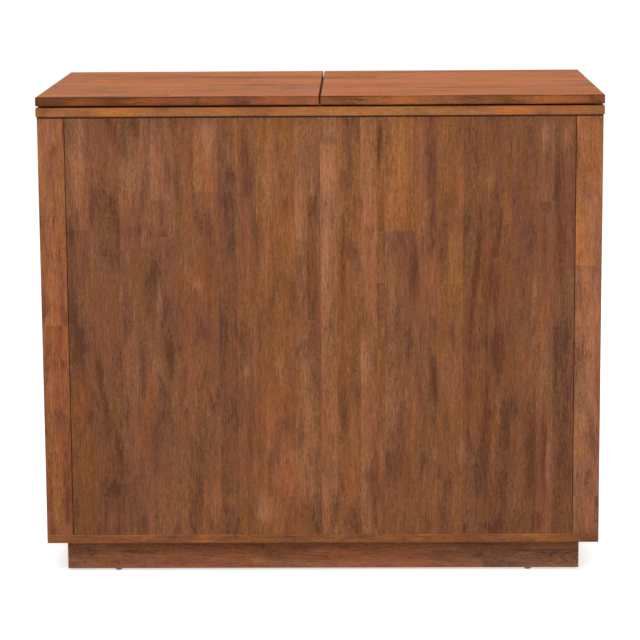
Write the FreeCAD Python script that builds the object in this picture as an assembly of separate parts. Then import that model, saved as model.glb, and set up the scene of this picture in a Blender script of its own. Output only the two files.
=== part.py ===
"""Flip-top bar cabinet, in millimetres.

The guest side faces -Y, the working side with doors and drawers faces +Y and +X is the right of the
guest side. The origin is on the floor under the middle of the top. Left and right are as seen from
the guest side.
"""
import FreeCAD, Part
import math
import os

V = FreeCAD.Vector

# Top: two leaves over one fixed board
TOP_WIDTH = 1000.0
TOP_DEPTH = 570.0
TOP_THICKNESS = 16.0
TOP_EDGE_RADIUS = 1.8
TOP_CORNER_CHAMFER = 2.0
LEAF_SEAM = 2.2
SIDE_OVERHANG = 2.0
FRONT_OVERHANG = 2.5
REAR_OVERHANG = 20.0

# Case
CASE_HEIGHT = 757.0
SIDE_THICKNESS = 18.0
PANEL_THICKNESS = 18.0
PANEL_REVEAL = 0.6
FRONT_STILE_WIDTH = 47.0
REAR_STILE_WIDTH = 40.0
REAR_STILE_THICKNESS = 20.0
BOTTOM_THICKNESS = 16.0
DIVIDER_THICKNESS = 16.0
SHELF_THICKNESS = 16.0
EASED_EDGE = 0.8
CLEAT_WIDTH = 50.0
CLEAT_THICKNESS = 16.0

# Plinth and glides
PLINTH_HEIGHT = 56.5
PLINTH_THICKNESS = 16.0
PLINTH_SIDE_INSET = 32.5
PLINTH_FRONT_INSET = 35.0
PLINTH_REAR_INSET = 35.0
CORNER_BLOCK_LEG = 42.0
CORNER_BLOCK_HEIGHT = 50.0
GLIDE_HEIGHT = 4.0
GLIDE_DIAMETER = 12.0
GLIDE_EDGE = 1.2
GLIDE_INSET = 92.0

# Hinges of the leaves: plates that fill the gap between leaf and fixed top
LEAF_HINGE_COUNT = 2
LEAF_HINGE_LENGTH = 60.0
LEAF_HINGE_INSET = 70.0
LEAF_HINGE_REACH = 30.0
LEAF_PLATE_THICKNESS = 1.2
LEAF_PLATE_CLEARANCE = 0.3
LEAF_AXIS_OUTSET = 0.25
LEAF_BARREL_DIAMETER = 5.6
LEAF_KNUCKLES = 3
BARREL_GAIN_CLEARANCE = 0.4
HINGE_PIN_DIAMETER = 2.8
PIN_CLEARANCE = 0.05
KNUCKLE_CLEARANCE = 0.3
BUMPER_DIAMETER = 10.0
BUMPER_CLEARANCE = 0.3
BUMPER_SEAM_INSET = 30.0
BUMPER_EDGE_INSET = 60.0

# Lopers: bars that slide out of the sides under the open leaves
LOPER_WIDTH = 24.0
LOPER_HEIGHT = 28.0
LOPER_LENGTH = 400.0
LOPER_TRAVEL = 300.0
LOPER_CLEARANCE = 0.5
LOPER_FRONT_INSET = 87.0
LOPER_REAR_INSET = 80.0
LOPER_END_CHAMFER = 1.0
LOPER_GROOVE_LAND = 55.0
LOPER_GROOVE_DEPTH = 11.0
LOPER_STOP_GAP = 1.0
LOPER_COVE_RADIUS = 7.0
LOPER_LIP = 4.0
LOPER_SCOOP_RADIUS = 12.0
GUIDE_FLOOR = 10.0
GUIDE_WALL = 12.0
LOPER_STOP_LENGTH = 10.0
LOPER_STOP_WIDTH = 6.0
LOPER_STOP_RISE = 9.0

# Drawers
DRAWER_OPENING_HEIGHT = 112.0
DECK_THICKNESS = 16.0
FRONT_THICKNESS = 18.0
REVEAL = 2.0
DRAWER_DEPTH = 420.0
DRAWER_TRAVEL = 290.0
DRAWER_SIDE = 12.0
DRAWER_BOTTOM = 6.0
DRAWER_BOTTOM_RISE = 8.0
DRAWER_TOP_DROP = 4.0
DRAWER_RUN_CLEARANCE = 0.3
DRAWER_GUIDE_CLEARANCE = 0.8
GUIDE_BATTEN_HEIGHT = 22.0
DRAWER_STOP_LENGTH = 20.0
DRAWER_STOP_HEIGHT = 6.0
DRAWER_STOP_GAP = 1.0
PULL_LENGTH = 110.0
PULL_PROJECTION = 18.0
PULL_BASE_WIDTH = 10.0
PULL_FACE_WIDTH = 17.0
PULL_END_SLOPE = 4.0
PULL_EDGE_RADIUS = 2.0

# Working side: centre bay between two door bays
BAY_WIDTH = 308.0
RACK_BOARD = 12.0
RACK_DEPTH_INSET = 14.0
STEM_CHANNELS = 3
STEM_GAP = 38.0
STEM_BATTEN_WIDTH = 12.0
STEM_BATTEN_HEIGHT = 14.0
STEM_SLAT_THICKNESS = 7.0
STEM_RAIL_SETBACK = 12.0
STEM_RAIL_CHAMFER = 1.5
STEM_RAIL_LENGTH = 420.0
SHELF_RISE = 275.0
SHELF_SIDE_CLEARANCE = 1.0
SHELF_FRONT_SETBACK = 26.0
SHELF_BACK_CLEARANCE = 4.0
BEARER_HEIGHT = 22.0
BEARER_THICKNESS = 14.0
BEARER_FRONT_INSET = 30.0
BEARER_NOSE = 10.0

# Doors
DOOR_HINGE_GAP = 2.6
DOOR_PLATE_THICKNESS = 1.0
DOOR_HINGE_LENGTH = 50.0
DOOR_HINGE_REACH = 20.0
DOOR_HINGE_INSET = 70.0
DOOR_BARREL_DIAMETER = 6.0
DOOR_BARREL_STANDOFF = 0.5
DOOR_KNUCKLES = 2
DOOR_PULL_INSET = 30.0
DOOR_PULL_TOP_INSET = 60.0
CATCH_WIDTH = 16.0
CATCH_LENGTH = 46.0
CATCH_DEPTH = 14.0
CATCH_GAP = 0.3
CATCH_TOP_INSET = 60.0
STRIKE_THICKNESS = 1.2
STRIKE_LENGTH = 34.0

# How far a cutting solid runs past the piece that it cuts
OVERRUN = 5.0

# Heights
PLINTH_Z = GLIDE_HEIGHT
BOTTOM_Z = PLINTH_Z + PLINTH_HEIGHT
FLOOR_Z = BOTTOM_Z + BOTTOM_THICKNESS
CEILING_Z = FLOOR_Z + CASE_HEIGHT
FIXED_TOP_Z = CEILING_Z + TOP_THICKNESS
LEAF_GAP = 2 * (LEAF_PLATE_THICKNESS + LEAF_PLATE_CLEARANCE)
LEAF_AXIS_Z = FIXED_TOP_Z + LEAF_GAP / 2
LEAF_Z = FIXED_TOP_Z + LEAF_GAP
LOPER_TOP_Z = CEILING_Z - LOPER_CLEARANCE
LOPER_Z = LOPER_TOP_Z - LOPER_HEIGHT
GUIDE_FLOOR_Z = LOPER_Z - LOPER_CLEARANCE
GUIDE_Z = GUIDE_FLOOR_Z - GUIDE_FLOOR
DRAWER_CEILING_Z = GUIDE_Z - DRAWER_STOP_HEIGHT - 2 * DRAWER_STOP_GAP
DECK_TOP_Z = DRAWER_CEILING_Z - DRAWER_OPENING_HEIGHT
DECK_Z = DECK_TOP_Z - DECK_THICKNESS
RACK_SHELF_Z = FLOOR_Z + BAY_WIDTH
SHELF_Z = FLOOR_Z + SHELF_RISE

# Places across and along the case
TOP_X = TOP_WIDTH / 2
TOP_Y = TOP_DEPTH / 2
CASE_X = TOP_X - SIDE_OVERHANG
INNER_X = CASE_X - SIDE_THICKNESS
FRONT_Y = FRONT_OVERHANG - TOP_Y
PANEL_BACK_Y = FRONT_Y + PANEL_THICKNESS
REAR_Y = TOP_Y - REAR_OVERHANG
REAR_FRAME_Y = REAR_Y - REAR_STILE_THICKNESS
FRONT_STILE_X = CASE_X - FRONT_STILE_WIDTH
REAR_STILE_X = CASE_X - REAR_STILE_WIDTH
BAY_X = BAY_WIDTH / 2
DIVIDER_X = BAY_X + DIVIDER_THICKNESS
LEAF_AXIS_X = TOP_X + LEAF_AXIS_OUTSET
LOPER_ROWS = {"front": FRONT_Y + LOPER_FRONT_INSET, "rear": REAR_Y - LOPER_REAR_INSET}
LOPER_INNER_X = CASE_X - LOPER_LENGTH
LOPER_GROOVE_X = CASE_X - LOPER_GROOVE_LAND
LOPER_STOP_X = LOPER_GROOVE_X - LOPER_STOP_GAP
PLINTH_X = CASE_X - PLINTH_SIDE_INSET
PLINTH_FRONT_Y = FRONT_Y + PLINTH_FRONT_INSET
PLINTH_REAR_Y = REAR_Y - PLINTH_REAR_INSET
SHELF_FRONT_Y = REAR_FRAME_Y - SHELF_FRONT_SETBACK
SIDES = {"left": -1, "right": 1}

FRONT_BACK_Y = REAR_Y - FRONT_THICKNESS
BOX_TOP_Z = DRAWER_CEILING_Z - DRAWER_TOP_DROP
BOX_Z = DECK_TOP_Z + DRAWER_RUN_CLEARANCE
DRAWER_INNER_X = DIVIDER_THICKNESS / 2 + REVEAL
DRAWER_OUTER_X = REAR_STILE_X - REVEAL
BOX_BACK_Y = REAR_Y - DRAWER_DEPTH
DRAWER_STOP_Y = REAR_FRAME_Y - DRAWER_STOP_GAP - DRAWER_TRAVEL

DOOR_OUTER_X = REAR_STILE_X - DOOR_HINGE_GAP
DOOR_INNER_X = DIVIDER_X + REVEAL
DOOR_AXIS_X = REAR_STILE_X - DOOR_HINGE_GAP / 2
DOOR_AXIS_Y = REAR_Y + DOOR_BARREL_DIAMETER / 2 + DOOR_BARREL_STANDOFF
DOOR_Z = FLOOR_Z + REVEAL
DOOR_TOP_Z = DECK_Z - REVEAL
CATCH_Z = DOOR_TOP_Z - CATCH_TOP_INSET - CATCH_LENGTH


def box(x0, x1, y0, y1, z0, z1):
    """A board between two corners."""
    return Part.makeBox(x1 - x0, y1 - y0, z1 - z0, V(x0, y0, z0))


def sided_box(side, x0, x1, y0, y1, z0, z1):
    """A board on the right for side 1, and its mirror image on the left for side -1."""
    low, high = sorted((side * x0, side * x1))
    return box(low, high, y0, y1, z0, z1)


def mirrored(shape, side):
    """The shape itself for side 1, and its mirror image through the plane x = 0 for side -1."""
    if side > 0:
        return shape
    return shape.mirror(V(0, 0, 0), V(1, 0, 0))


def cylinder(radius, start, end):
    """A round bar from one point to another."""
    run = end - start
    return Part.makeCylinder(radius, run.Length, start, run)


def prism(points, sweep):
    """A closed outline of straight lines, swept along a vector."""
    outline = Part.makePolygon(points + points[:1])
    return Part.Face(outline).extrude(sweep)


def turned(outline, base, axis):
    """A turned solid: (radius, height) pairs from the axis out and back, set up along an axis."""
    points = [V(radius, 0, height) for radius, height in outline]
    solid = Part.Face(Part.makePolygon(points + points[:1])).revolve(V(0, 0, 0), V(0, 0, 1), 360)
    solid.Placement = FreeCAD.Placement(base, FreeCAD.Rotation(V(0, 0, 1), axis))
    return solid


def runs_along(edge, direction):
    """Whether a straight edge lies along a direction."""
    first, last = edge.Vertexes[0].Point, edge.Vertexes[-1].Point
    run = last - first
    return run.Length > 0 and abs(abs(run.dot(direction)) - run.Length) < run.Length / TOP_WIDTH


def eased(board, direction):
    """The board with its edges along one direction bevelled."""
    return board.makeChamfer(EASED_EDGE, [edge for edge in board.Edges if runs_along(edge, direction)])


def bevelled_face(board, y):
    """The board with the edges around its outer face, the one at y, bevelled."""
    around = [edge for edge in board.Edges if abs(edge.CenterOfMass.y - y) < EASED_EDGE]
    return board.makeChamfer(EASED_EDGE, around)


def top_board(x0, x1, z):
    """A board of the top: its outer corners are bevelled and all its level edges rounded."""
    board = box(x0, x1, -TOP_Y, TOP_Y, z, z + TOP_THICKNESS)
    corners = [
        edge for edge in board.Edges
        if runs_along(edge, V(0, 0, 1)) and TOP_X - abs(edge.CenterOfMass.x) < TOP_CORNER_CHAMFER
    ]
    board = board.makeChamfer(TOP_CORNER_CHAMFER, corners)
    level = [edge for edge in board.Edges if not runs_along(edge, V(0, 0, 1))]
    return board.makeFillet(TOP_EDGE_RADIUS, level)


def leaf_hinge_places():
    """The middle of each leaf hinge along the depth of the top."""
    first = LEAF_HINGE_INSET + LEAF_HINGE_LENGTH / 2 - TOP_Y
    step = -2 * first / (LEAF_HINGE_COUNT - 1)
    return [first + index * step for index in range(LEAF_HINGE_COUNT)]


def barrel_gains(side):
    """What is cut from the edges of leaf and fixed top to make room for the hinge barrels."""
    reach = LEAF_BARREL_DIAMETER / 2 + BARREL_GAIN_CLEARANCE
    half = LEAF_HINGE_LENGTH / 2 + BARREL_GAIN_CLEARANCE
    x = side * LEAF_AXIS_X
    return [
        cylinder(reach, V(x, y - half, LEAF_AXIS_Z), V(x, y + half, LEAF_AXIS_Z))
        for y in leaf_hinge_places()
    ]


def hinge_half(length, knuckles, own, thickness, offset, reach, barrel, plate_start):
    """One half of a butt hinge, its pin axis along Z through the origin and centred on it.

    The plate runs from plate_start to reach along +X and lies from offset to offset + thickness
    along Y, and every second knuckle from the one numbered own belongs to it.
    """
    radius = barrel / 2
    clear = radius + KNUCKLE_CLEARANCE
    start = max(plate_start, clear)
    half = box(start, reach, offset, offset + thickness, -length / 2, length / 2)
    pitch = length / knuckles
    for index in range(own, knuckles, 2):
        low = -length / 2 + index * pitch
        high = low + pitch
        if index > 0:
            low += KNUCKLE_CLEARANCE / 2
        if index < knuckles - 1:
            high -= KNUCKLE_CLEARANCE / 2
        ring = cylinder(radius, V(0, 0, low), V(0, 0, high))
        tongue = box(0, start + thickness, offset, offset + thickness, low, high)
        half = half.fuse([ring, tongue])
    bore = HINGE_PIN_DIAMETER / 2 + PIN_CLEARANCE
    half = half.cut(cylinder(bore, V(0, 0, -length), V(0, 0, length)))
    return half.removeSplitter()


def leaf_hinge_plates(side, level):
    """The plates of one side: level -1 for those on the fixed top, 1 for those on the leaf."""
    plates = []
    for middle in leaf_hinge_places():
        plate = hinge_half(LEAF_HINGE_LENGTH, LEAF_KNUCKLES, (level + 1) // 2, LEAF_PLATE_THICKNESS,
                           LEAF_PLATE_CLEARANCE, LEAF_HINGE_REACH, LEAF_BARREL_DIAMETER, 0)
        if level < 0:
            plate = plate.mirror(V(0, 0, 0), V(0, 1, 0))
        plate.rotate(V(0, 0, 0), V(1, 0, 0), 90)
        plate = plate.mirror(V(0, 0, 0), V(1, 0, 0))
        plates.append(mirrored(plate.translated(V(LEAF_AXIS_X, middle, LEAF_AXIS_Z)), side))
    return plates


def leaf_hinge_pins(side):
    """The pins of one side's leaf hinges."""
    x = side * LEAF_AXIS_X
    half = LEAF_HINGE_LENGTH / 2
    return [
        cylinder(HINGE_PIN_DIAMETER / 2, V(x, y - half, LEAF_AXIS_Z), V(x, y + half, LEAF_AXIS_Z))
        for y in leaf_hinge_places()
    ]


def fixed_top():
    """The fixed board of the top, with room for the barrels of the leaf hinges."""
    gains = [gain for side in SIDES.values() for gain in barrel_gains(side)]
    return top_board(-TOP_X, TOP_X, CEILING_Z).cut(gains)


def top_leaf(side):
    """A folding leaf of the top."""
    return mirrored(top_board(LEAF_SEAM / 2, TOP_X, LEAF_Z), side).cut(barrel_gains(side))


def leaf_bumpers(side):
    """Rubber buttons under a leaf near the seam."""
    x = side * (LEAF_SEAM / 2 + BUMPER_SEAM_INSET)
    y = TOP_Y - BUMPER_EDGE_INSET
    foot_z = FIXED_TOP_Z + BUMPER_CLEARANCE
    return [cylinder(BUMPER_DIAMETER / 2, V(x, place, foot_z), V(x, place, LEAF_Z)) for place in (-y, y)]


def loper_groove(side, row_y):
    """The blind groove under a loper, in which its stop block runs."""
    length = LOPER_TRAVEL + LOPER_STOP_LENGTH + 2 * LOPER_STOP_GAP
    half = (LOPER_STOP_WIDTH + LOPER_STOP_GAP) / 2
    return sided_box(side, LOPER_GROOVE_X - length, LOPER_GROOVE_X, row_y - half, row_y + half,
                     LOPER_Z - OVERRUN, LOPER_Z + LOPER_GROOVE_DEPTH)


def loper(side, row_y):
    """A sliding bar with its blind groove and a cove under its end for a finger."""
    half = LOPER_WIDTH / 2
    bar = sided_box(side, LOPER_INNER_X, CASE_X, row_y - half, row_y + half, LOPER_Z, LOPER_TOP_Z)
    bar = bar.makeChamfer(LOPER_END_CHAMFER, [
        edge for edge in bar.Edges
        if not runs_along(edge, V(1, 0, 0)) and abs(edge.CenterOfMass.x) > CASE_X - LOPER_END_CHAMFER
    ])
    x = side * (CASE_X - LOPER_LIP - LOPER_COVE_RADIUS)
    start, end = V(x, row_y - LOPER_WIDTH, LOPER_Z), V(x, row_y + LOPER_WIDTH, LOPER_Z)
    return bar.cut([loper_groove(side, row_y), cylinder(LOPER_COVE_RADIUS, start, end)])


def loper_guide(row_y):
    """A channel under the fixed top: a floor strip and two walls."""
    inner = LOPER_WIDTH / 2 + LOPER_CLEARANCE
    outer = inner + GUIDE_WALL
    return [
        box(-INNER_X, INNER_X, row_y - inner, row_y + inner, GUIDE_Z, GUIDE_FLOOR_Z),
        box(-INNER_X, INNER_X, row_y - outer, row_y - inner, GUIDE_Z, CEILING_Z),
        box(-INNER_X, INNER_X, row_y + inner, row_y + outer, GUIDE_Z, CEILING_Z),
    ]


def loper_stop_blocks():
    """Small blocks on the guide floors, which run in the grooves and limit the lopers' travel."""
    half = LOPER_STOP_WIDTH / 2
    return [
        sided_box(side, LOPER_STOP_X - LOPER_STOP_LENGTH, LOPER_STOP_X, row_y - half, row_y + half,
                  GUIDE_FLOOR_Z, GUIDE_FLOOR_Z + LOPER_STOP_RISE)
        for row_y in LOPER_ROWS.values() for side in SIDES.values()
    ]


def side_panel(side):
    """A side of the case, notched for the lopers, with a scoop for the finger under each."""
    board = sided_box(side, INNER_X, CASE_X, PANEL_BACK_Y, REAR_FRAME_Y, FLOOR_Z, CEILING_Z)
    half = LOPER_WIDTH / 2 + LOPER_CLEARANCE
    cuts = []
    for row_y in LOPER_ROWS.values():
        cuts.append(sided_box(side, INNER_X - OVERRUN, CASE_X + OVERRUN, row_y - half, row_y + half,
                              GUIDE_FLOOR_Z, CEILING_Z + OVERRUN))
        cuts.append(cylinder(LOPER_SCOOP_RADIUS, V(side * (INNER_X - OVERRUN), row_y, GUIDE_FLOOR_Z),
                             V(side * (CASE_X + OVERRUN), row_y, GUIDE_FLOOR_Z)))
    return board.cut(cuts)


def front_stile(side):
    """A stile beside the front panel, flush with it."""
    board = sided_box(side, FRONT_STILE_X, CASE_X, FRONT_Y, PANEL_BACK_Y, FLOOR_Z, CEILING_Z)
    return eased(board, V(0, 0, 1))


def rear_stile(side):
    """A stile at the working side, on which the door hangs."""
    board = sided_box(side, REAR_STILE_X, CASE_X, REAR_FRAME_Y, REAR_Y, FLOOR_Z, CEILING_Z)
    return eased(board, V(0, 0, 1))


def front_panel():
    """The wide panel of the guest side, between the stiles."""
    x = FRONT_STILE_X - PANEL_REVEAL
    return eased(box(-x, x, FRONT_Y, PANEL_BACK_Y, FLOOR_Z, CEILING_Z), V(0, 0, 1))


def panel_cleats():
    """Strips in the corners behind the front panel, below and above the drawer deck."""
    cleats = []
    for side in SIDES.values():
        for z0, z1 in ((FLOOR_Z, DECK_Z), (DECK_TOP_Z, CEILING_Z)):
            cleats.append(sided_box(side, INNER_X - CLEAT_WIDTH, INNER_X, PANEL_BACK_Y,
                                    PANEL_BACK_Y + CLEAT_THICKNESS, z0, z1))
    return cleats


def bottom_board():
    """The bottom board, as wide and deep as the case."""
    board = box(-CASE_X, CASE_X, FRONT_Y, REAR_Y, BOTTOM_Z, FLOOR_Z)
    return eased(board, V(1, 0, 0))


def glide_places():
    """Where the glides stand, under the front and back rail of the plinth."""
    x = PLINTH_X - GLIDE_INSET
    half = PLINTH_THICKNESS / 2
    return [(s * x, y) for y in (PLINTH_FRONT_Y + half, PLINTH_REAR_Y - half) for s in SIDES.values()]


def foot_glides():
    """Round glides with a bevelled rim."""
    radius = GLIDE_DIAMETER / 2
    outline = [(0, 0), (radius - GLIDE_EDGE, 0), (radius, GLIDE_EDGE), (radius, GLIDE_HEIGHT),
               (0, GLIDE_HEIGHT)]
    return [turned(outline, V(x, y, 0), V(0, 0, 1)) for x, y in glide_places()]


def plinth_cross_rail(y0):
    """A rail of the plinth across the full width of the plinth."""
    rail = box(-PLINTH_X, PLINTH_X, y0, y0 + PLINTH_THICKNESS, PLINTH_Z, BOTTOM_Z)
    return eased(rail, V(1, 0, 0))


def plinth_side_rails():
    """The rails of the plinth from front to back."""
    return [
        sided_box(side, PLINTH_X - PLINTH_THICKNESS, PLINTH_X, PLINTH_FRONT_Y + PLINTH_THICKNESS,
                  PLINTH_REAR_Y - PLINTH_THICKNESS, PLINTH_Z, BOTTOM_Z)
        for side in SIDES.values()
    ]


def plinth_corner_blocks():
    """Three-cornered glue blocks in the corners of the plinth, up against the bottom board."""
    z = BOTTOM_Z - CORNER_BLOCK_HEIGHT
    blocks = []
    for side in SIDES.values():
        x = side * (PLINTH_X - PLINTH_THICKNESS)
        for y, way in ((PLINTH_FRONT_Y + PLINTH_THICKNESS, 1), (PLINTH_REAR_Y - PLINTH_THICKNESS, -1)):
            corner = V(x, y, z)
            across = corner - V(side * CORNER_BLOCK_LEG, 0, 0)
            along = corner + V(0, way * CORNER_BLOCK_LEG, 0)
            blocks.append(prism([corner, across, along], V(0, 0, CORNER_BLOCK_HEIGHT)))
    return blocks


def rear_top_rail():
    """The rail over the drawers, which hides the lopers from the working side."""
    return box(-REAR_STILE_X, REAR_STILE_X, REAR_FRAME_Y, REAR_Y, DRAWER_CEILING_Z, CEILING_Z)


def drawer_deck():
    """The board between drawers and bays, let in between the rear stiles."""
    board = box(-INNER_X, INNER_X, PANEL_BACK_Y, REAR_FRAME_Y, DECK_Z, DECK_TOP_Z)
    lip = box(-REAR_STILE_X, REAR_STILE_X, REAR_FRAME_Y, REAR_Y, DECK_Z, DECK_TOP_Z)
    return board.fuse(lip).removeSplitter()


def drawer_divider():
    """The upright board between the drawers, notched for the rail over them."""
    x = -DIVIDER_THICKNESS / 2
    profile = [
        V(x, PANEL_BACK_Y, DECK_TOP_Z), V(x, REAR_Y, DECK_TOP_Z), V(x, REAR_Y, DRAWER_CEILING_Z),
        V(x, REAR_FRAME_Y, DRAWER_CEILING_Z), V(x, REAR_FRAME_Y, GUIDE_Z), V(x, PANEL_BACK_Y, GUIDE_Z),
    ]
    return prism(profile, V(DIVIDER_THICKNESS, 0, 0))


def drawer_side_guides():
    """Battens on the deck along the sides, which keep the drawers in line behind the stiles."""
    inner = DRAWER_OUTER_X + DRAWER_GUIDE_CLEARANCE
    return [
        sided_box(side, inner, INNER_X, PANEL_BACK_Y + CLEAT_THICKNESS, REAR_FRAME_Y,
                  DECK_TOP_Z, DECK_TOP_Z + GUIDE_BATTEN_HEIGHT)
        for side in SIDES.values()
    ]


def bay_divider(side):
    """An upright board between the centre bay and a door bay."""
    return sided_box(side, BAY_X, DIVIDER_X, PANEL_BACK_Y, REAR_Y, FLOOR_Z, DECK_Z)


def rack_shelf():
    """The fixed shelf over the bottle rack."""
    front = REAR_Y - EASED_EDGE
    return box(-BAY_X, BAY_X, PANEL_BACK_Y, front, RACK_SHELF_Z, RACK_SHELF_Z + SHELF_THICKNESS)


def bottle_rack_boards():
    """Two crossed boards from corner to corner: one whole, the other in two halves."""
    corner = RACK_BOARD / math.sqrt(2)
    y = PANEL_BACK_Y
    sweep = V(0, REAR_Y - RACK_DEPTH_INSET - y, 0)
    low, high, middle = FLOOR_Z, RACK_SHELF_Z, (FLOOR_Z + RACK_SHELF_Z) / 2
    whole = [
        V(-BAY_X, y, low), V(corner - BAY_X, y, low), V(BAY_X, y, high - corner),
        V(BAY_X, y, high), V(BAY_X - corner, y, high), V(-BAY_X, y, low + corner),
    ]
    lower_half = [
        V(BAY_X, y, low), V(BAY_X, y, low + corner), V(corner, y, middle),
        V(0, y, middle - corner), V(BAY_X - corner, y, low),
    ]
    upper_half = [
        V(-BAY_X, y, high), V(-BAY_X, y, high - corner), V(-corner, y, middle),
        V(0, y, middle + corner), V(corner - BAY_X, y, high),
    ]
    return [prism(points, sweep) for points in (whole, lower_half, upper_half)]


def stemware_rails():
    """Battens and slats under the deck, with channels from which glasses hang by the foot."""
    pitch = BAY_WIDTH / STEM_CHANNELS
    y1 = REAR_Y - STEM_RAIL_SETBACK
    y0 = y1 - STEM_RAIL_LENGTH
    batten_z = DECK_Z - STEM_BATTEN_HEIGHT
    slat = (pitch - STEM_GAP) / 2
    batten = STEM_BATTEN_WIDTH / 2
    pieces = []
    for index in range(STEM_CHANNELS + 1):
        x = index * pitch - BAY_X
        left, right = max(x - slat, -BAY_X), min(x + slat, BAY_X)
        pieces.append(box(max(x - batten, -BAY_X), min(x + batten, BAY_X), y0, y1, batten_z, DECK_Z))
        strip = box(left, right, y0, y1, batten_z - STEM_SLAT_THICKNESS, batten_z)
        ends = [
            edge for edge in strip.Edges
            if runs_along(edge, V(1, 0, 0)) and edge.CenterOfMass.z < batten_z - STEM_SLAT_THICKNESS / 2
        ]
        pieces.append(strip.makeChamfer(STEM_RAIL_CHAMFER, ends))
    return pieces


def shelf_bearers():
    """Battens on the walls of the door bays, with a sloped nose at the working side."""
    y0 = PANEL_BACK_Y + CLEAT_THICKNESS
    y1 = SHELF_FRONT_Y - BEARER_FRONT_INSET
    low = SHELF_Z - BEARER_HEIGHT
    bearers = []
    for side in SIDES.values():
        for wall, way in ((INNER_X, -1), (DIVIDER_X, 1)):
            x = side * wall
            profile = [V(x, y0, low), V(x, y1 - BEARER_NOSE, low), V(x, y1, low + BEARER_NOSE),
                       V(x, y1, SHELF_Z), V(x, y0, SHELF_Z)]
            bearers.append(prism(profile, V(side * way * BEARER_THICKNESS, 0, 0)))
    return bearers


def bay_shelves():
    """A loose shelf in each door bay, on two bearers."""
    y0 = PANEL_BACK_Y + CLEAT_THICKNESS + SHELF_BACK_CLEARANCE
    shelves = []
    for side in SIDES.values():
        shelf = sided_box(side, DIVIDER_X + SHELF_SIDE_CLEARANCE, INNER_X - SHELF_SIDE_CLEARANCE,
                          y0, SHELF_FRONT_Y, SHELF_Z, SHELF_Z + SHELF_THICKNESS)
        shelves.append(eased(shelf, V(1, 0, 0)))
    return shelves


def bar_pull(x, z, upright):
    """A wooden bar pull on the working side, undercut along its length so that fingers hold it."""
    half_base, half_face = PULL_BASE_WIDTH / 2, PULL_FACE_WIDTH / 2
    profile = [
        V(-half_base, 0, 0), V(half_base, 0, 0), V(half_face, PULL_PROJECTION, 0),
        V(-half_face, PULL_PROJECTION, 0),
    ]
    start = V(0, 0, PULL_LENGTH / 2)
    bar = prism([point - start for point in profile], 2 * start)
    long_edges = [
        edge for edge in bar.Edges
        if runs_along(edge, V(0, 0, 1)) and edge.CenterOfMass.y > PULL_PROJECTION / 2
    ]
    bar = bar.makeFillet(PULL_EDGE_RADIUS, long_edges)
    for way in (-1, 1):
        foot = V(-PULL_FACE_WIDTH, 0, way * PULL_LENGTH / 2)
        face = foot + V(0, PULL_PROJECTION, 0)
        slope = [foot, face, face - V(0, 0, way * PULL_END_SLOPE)]
        bar = bar.cut(prism(slope, V(2 * PULL_FACE_WIDTH, 0, 0)))
    if not upright:
        bar.rotate(V(0, 0, 0), V(0, 1, 0), 90)
    return bar.translated(V(x, REAR_Y, z))


def drawer_front(side):
    """The visible front of a drawer, let in flush with the frame."""
    board = sided_box(side, DRAWER_INNER_X, DRAWER_OUTER_X, FRONT_BACK_Y, REAR_Y,
                      DECK_TOP_Z + REVEAL, DRAWER_CEILING_Z - REVEAL)
    return bevelled_face(board, REAR_Y)


def drawer_box(side):
    """Two sides, inner front, back and bottom of a drawer, and the blocks that stop it when open."""
    x0, x1 = DRAWER_INNER_X, DRAWER_OUTER_X
    low, high, floor = BOX_Z, BOX_TOP_Z, BOX_Z + DRAWER_BOTTOM_RISE
    ends = ((BOX_BACK_Y, BOX_BACK_Y + DRAWER_SIDE), (FRONT_BACK_Y - DRAWER_SIDE, FRONT_BACK_Y))
    pieces = [
        sided_box(side, x0, x0 + DRAWER_SIDE, BOX_BACK_Y, FRONT_BACK_Y, low, high),
        sided_box(side, x1 - DRAWER_SIDE, x1, BOX_BACK_Y, FRONT_BACK_Y, low, high),
        sided_box(side, x0 + DRAWER_SIDE, x1 - DRAWER_SIDE, BOX_BACK_Y + DRAWER_SIDE,
                  FRONT_BACK_Y - DRAWER_SIDE, floor, floor + DRAWER_BOTTOM),
    ]
    for y0, y1 in ends:
        pieces.append(sided_box(side, x0 + DRAWER_SIDE, x1 - DRAWER_SIDE, y0, y1, low, high))
    for x in (x0, x1 - DRAWER_SIDE):
        pieces.append(sided_box(side, x, x + DRAWER_SIDE, DRAWER_STOP_Y - DRAWER_STOP_LENGTH, DRAWER_STOP_Y,
                                high, GUIDE_Z - DRAWER_STOP_GAP))
    return pieces


def door_board(side):
    """A door, let in flush with the frame."""
    board = sided_box(side, DOOR_INNER_X, DOOR_OUTER_X, FRONT_BACK_Y, REAR_Y, DOOR_Z, DOOR_TOP_Z)
    return bevelled_face(board, REAR_Y)


def door_hinge_heights():
    """The middle of each hinge of a door."""
    inset = DOOR_HINGE_INSET + DOOR_HINGE_LENGTH / 2
    return (DOOR_Z + inset, DOOR_TOP_Z - inset)


def door_hinge_halves(side, on_door):
    """The halves of a door's hinges that sit on the door or on the stile, face against edge."""
    halves = []
    for z in door_hinge_heights():
        offset = DOOR_HINGE_GAP / 2 - DOOR_PLATE_THICKNESS
        start = DOOR_BARREL_DIAMETER / 2 + DOOR_BARREL_STANDOFF
        half = hinge_half(DOOR_HINGE_LENGTH, DOOR_KNUCKLES, int(on_door), DOOR_PLATE_THICKNESS,
                          offset, DOOR_HINGE_REACH, DOOR_BARREL_DIAMETER, start)
        half.rotate(V(0, 0, 0), V(0, 0, 1), -90)
        if on_door:
            half = half.mirror(V(0, 0, 0), V(1, 0, 0))
        halves.append(mirrored(half.translated(V(DOOR_AXIS_X, DOOR_AXIS_Y, z)), side))
    return halves


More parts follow.
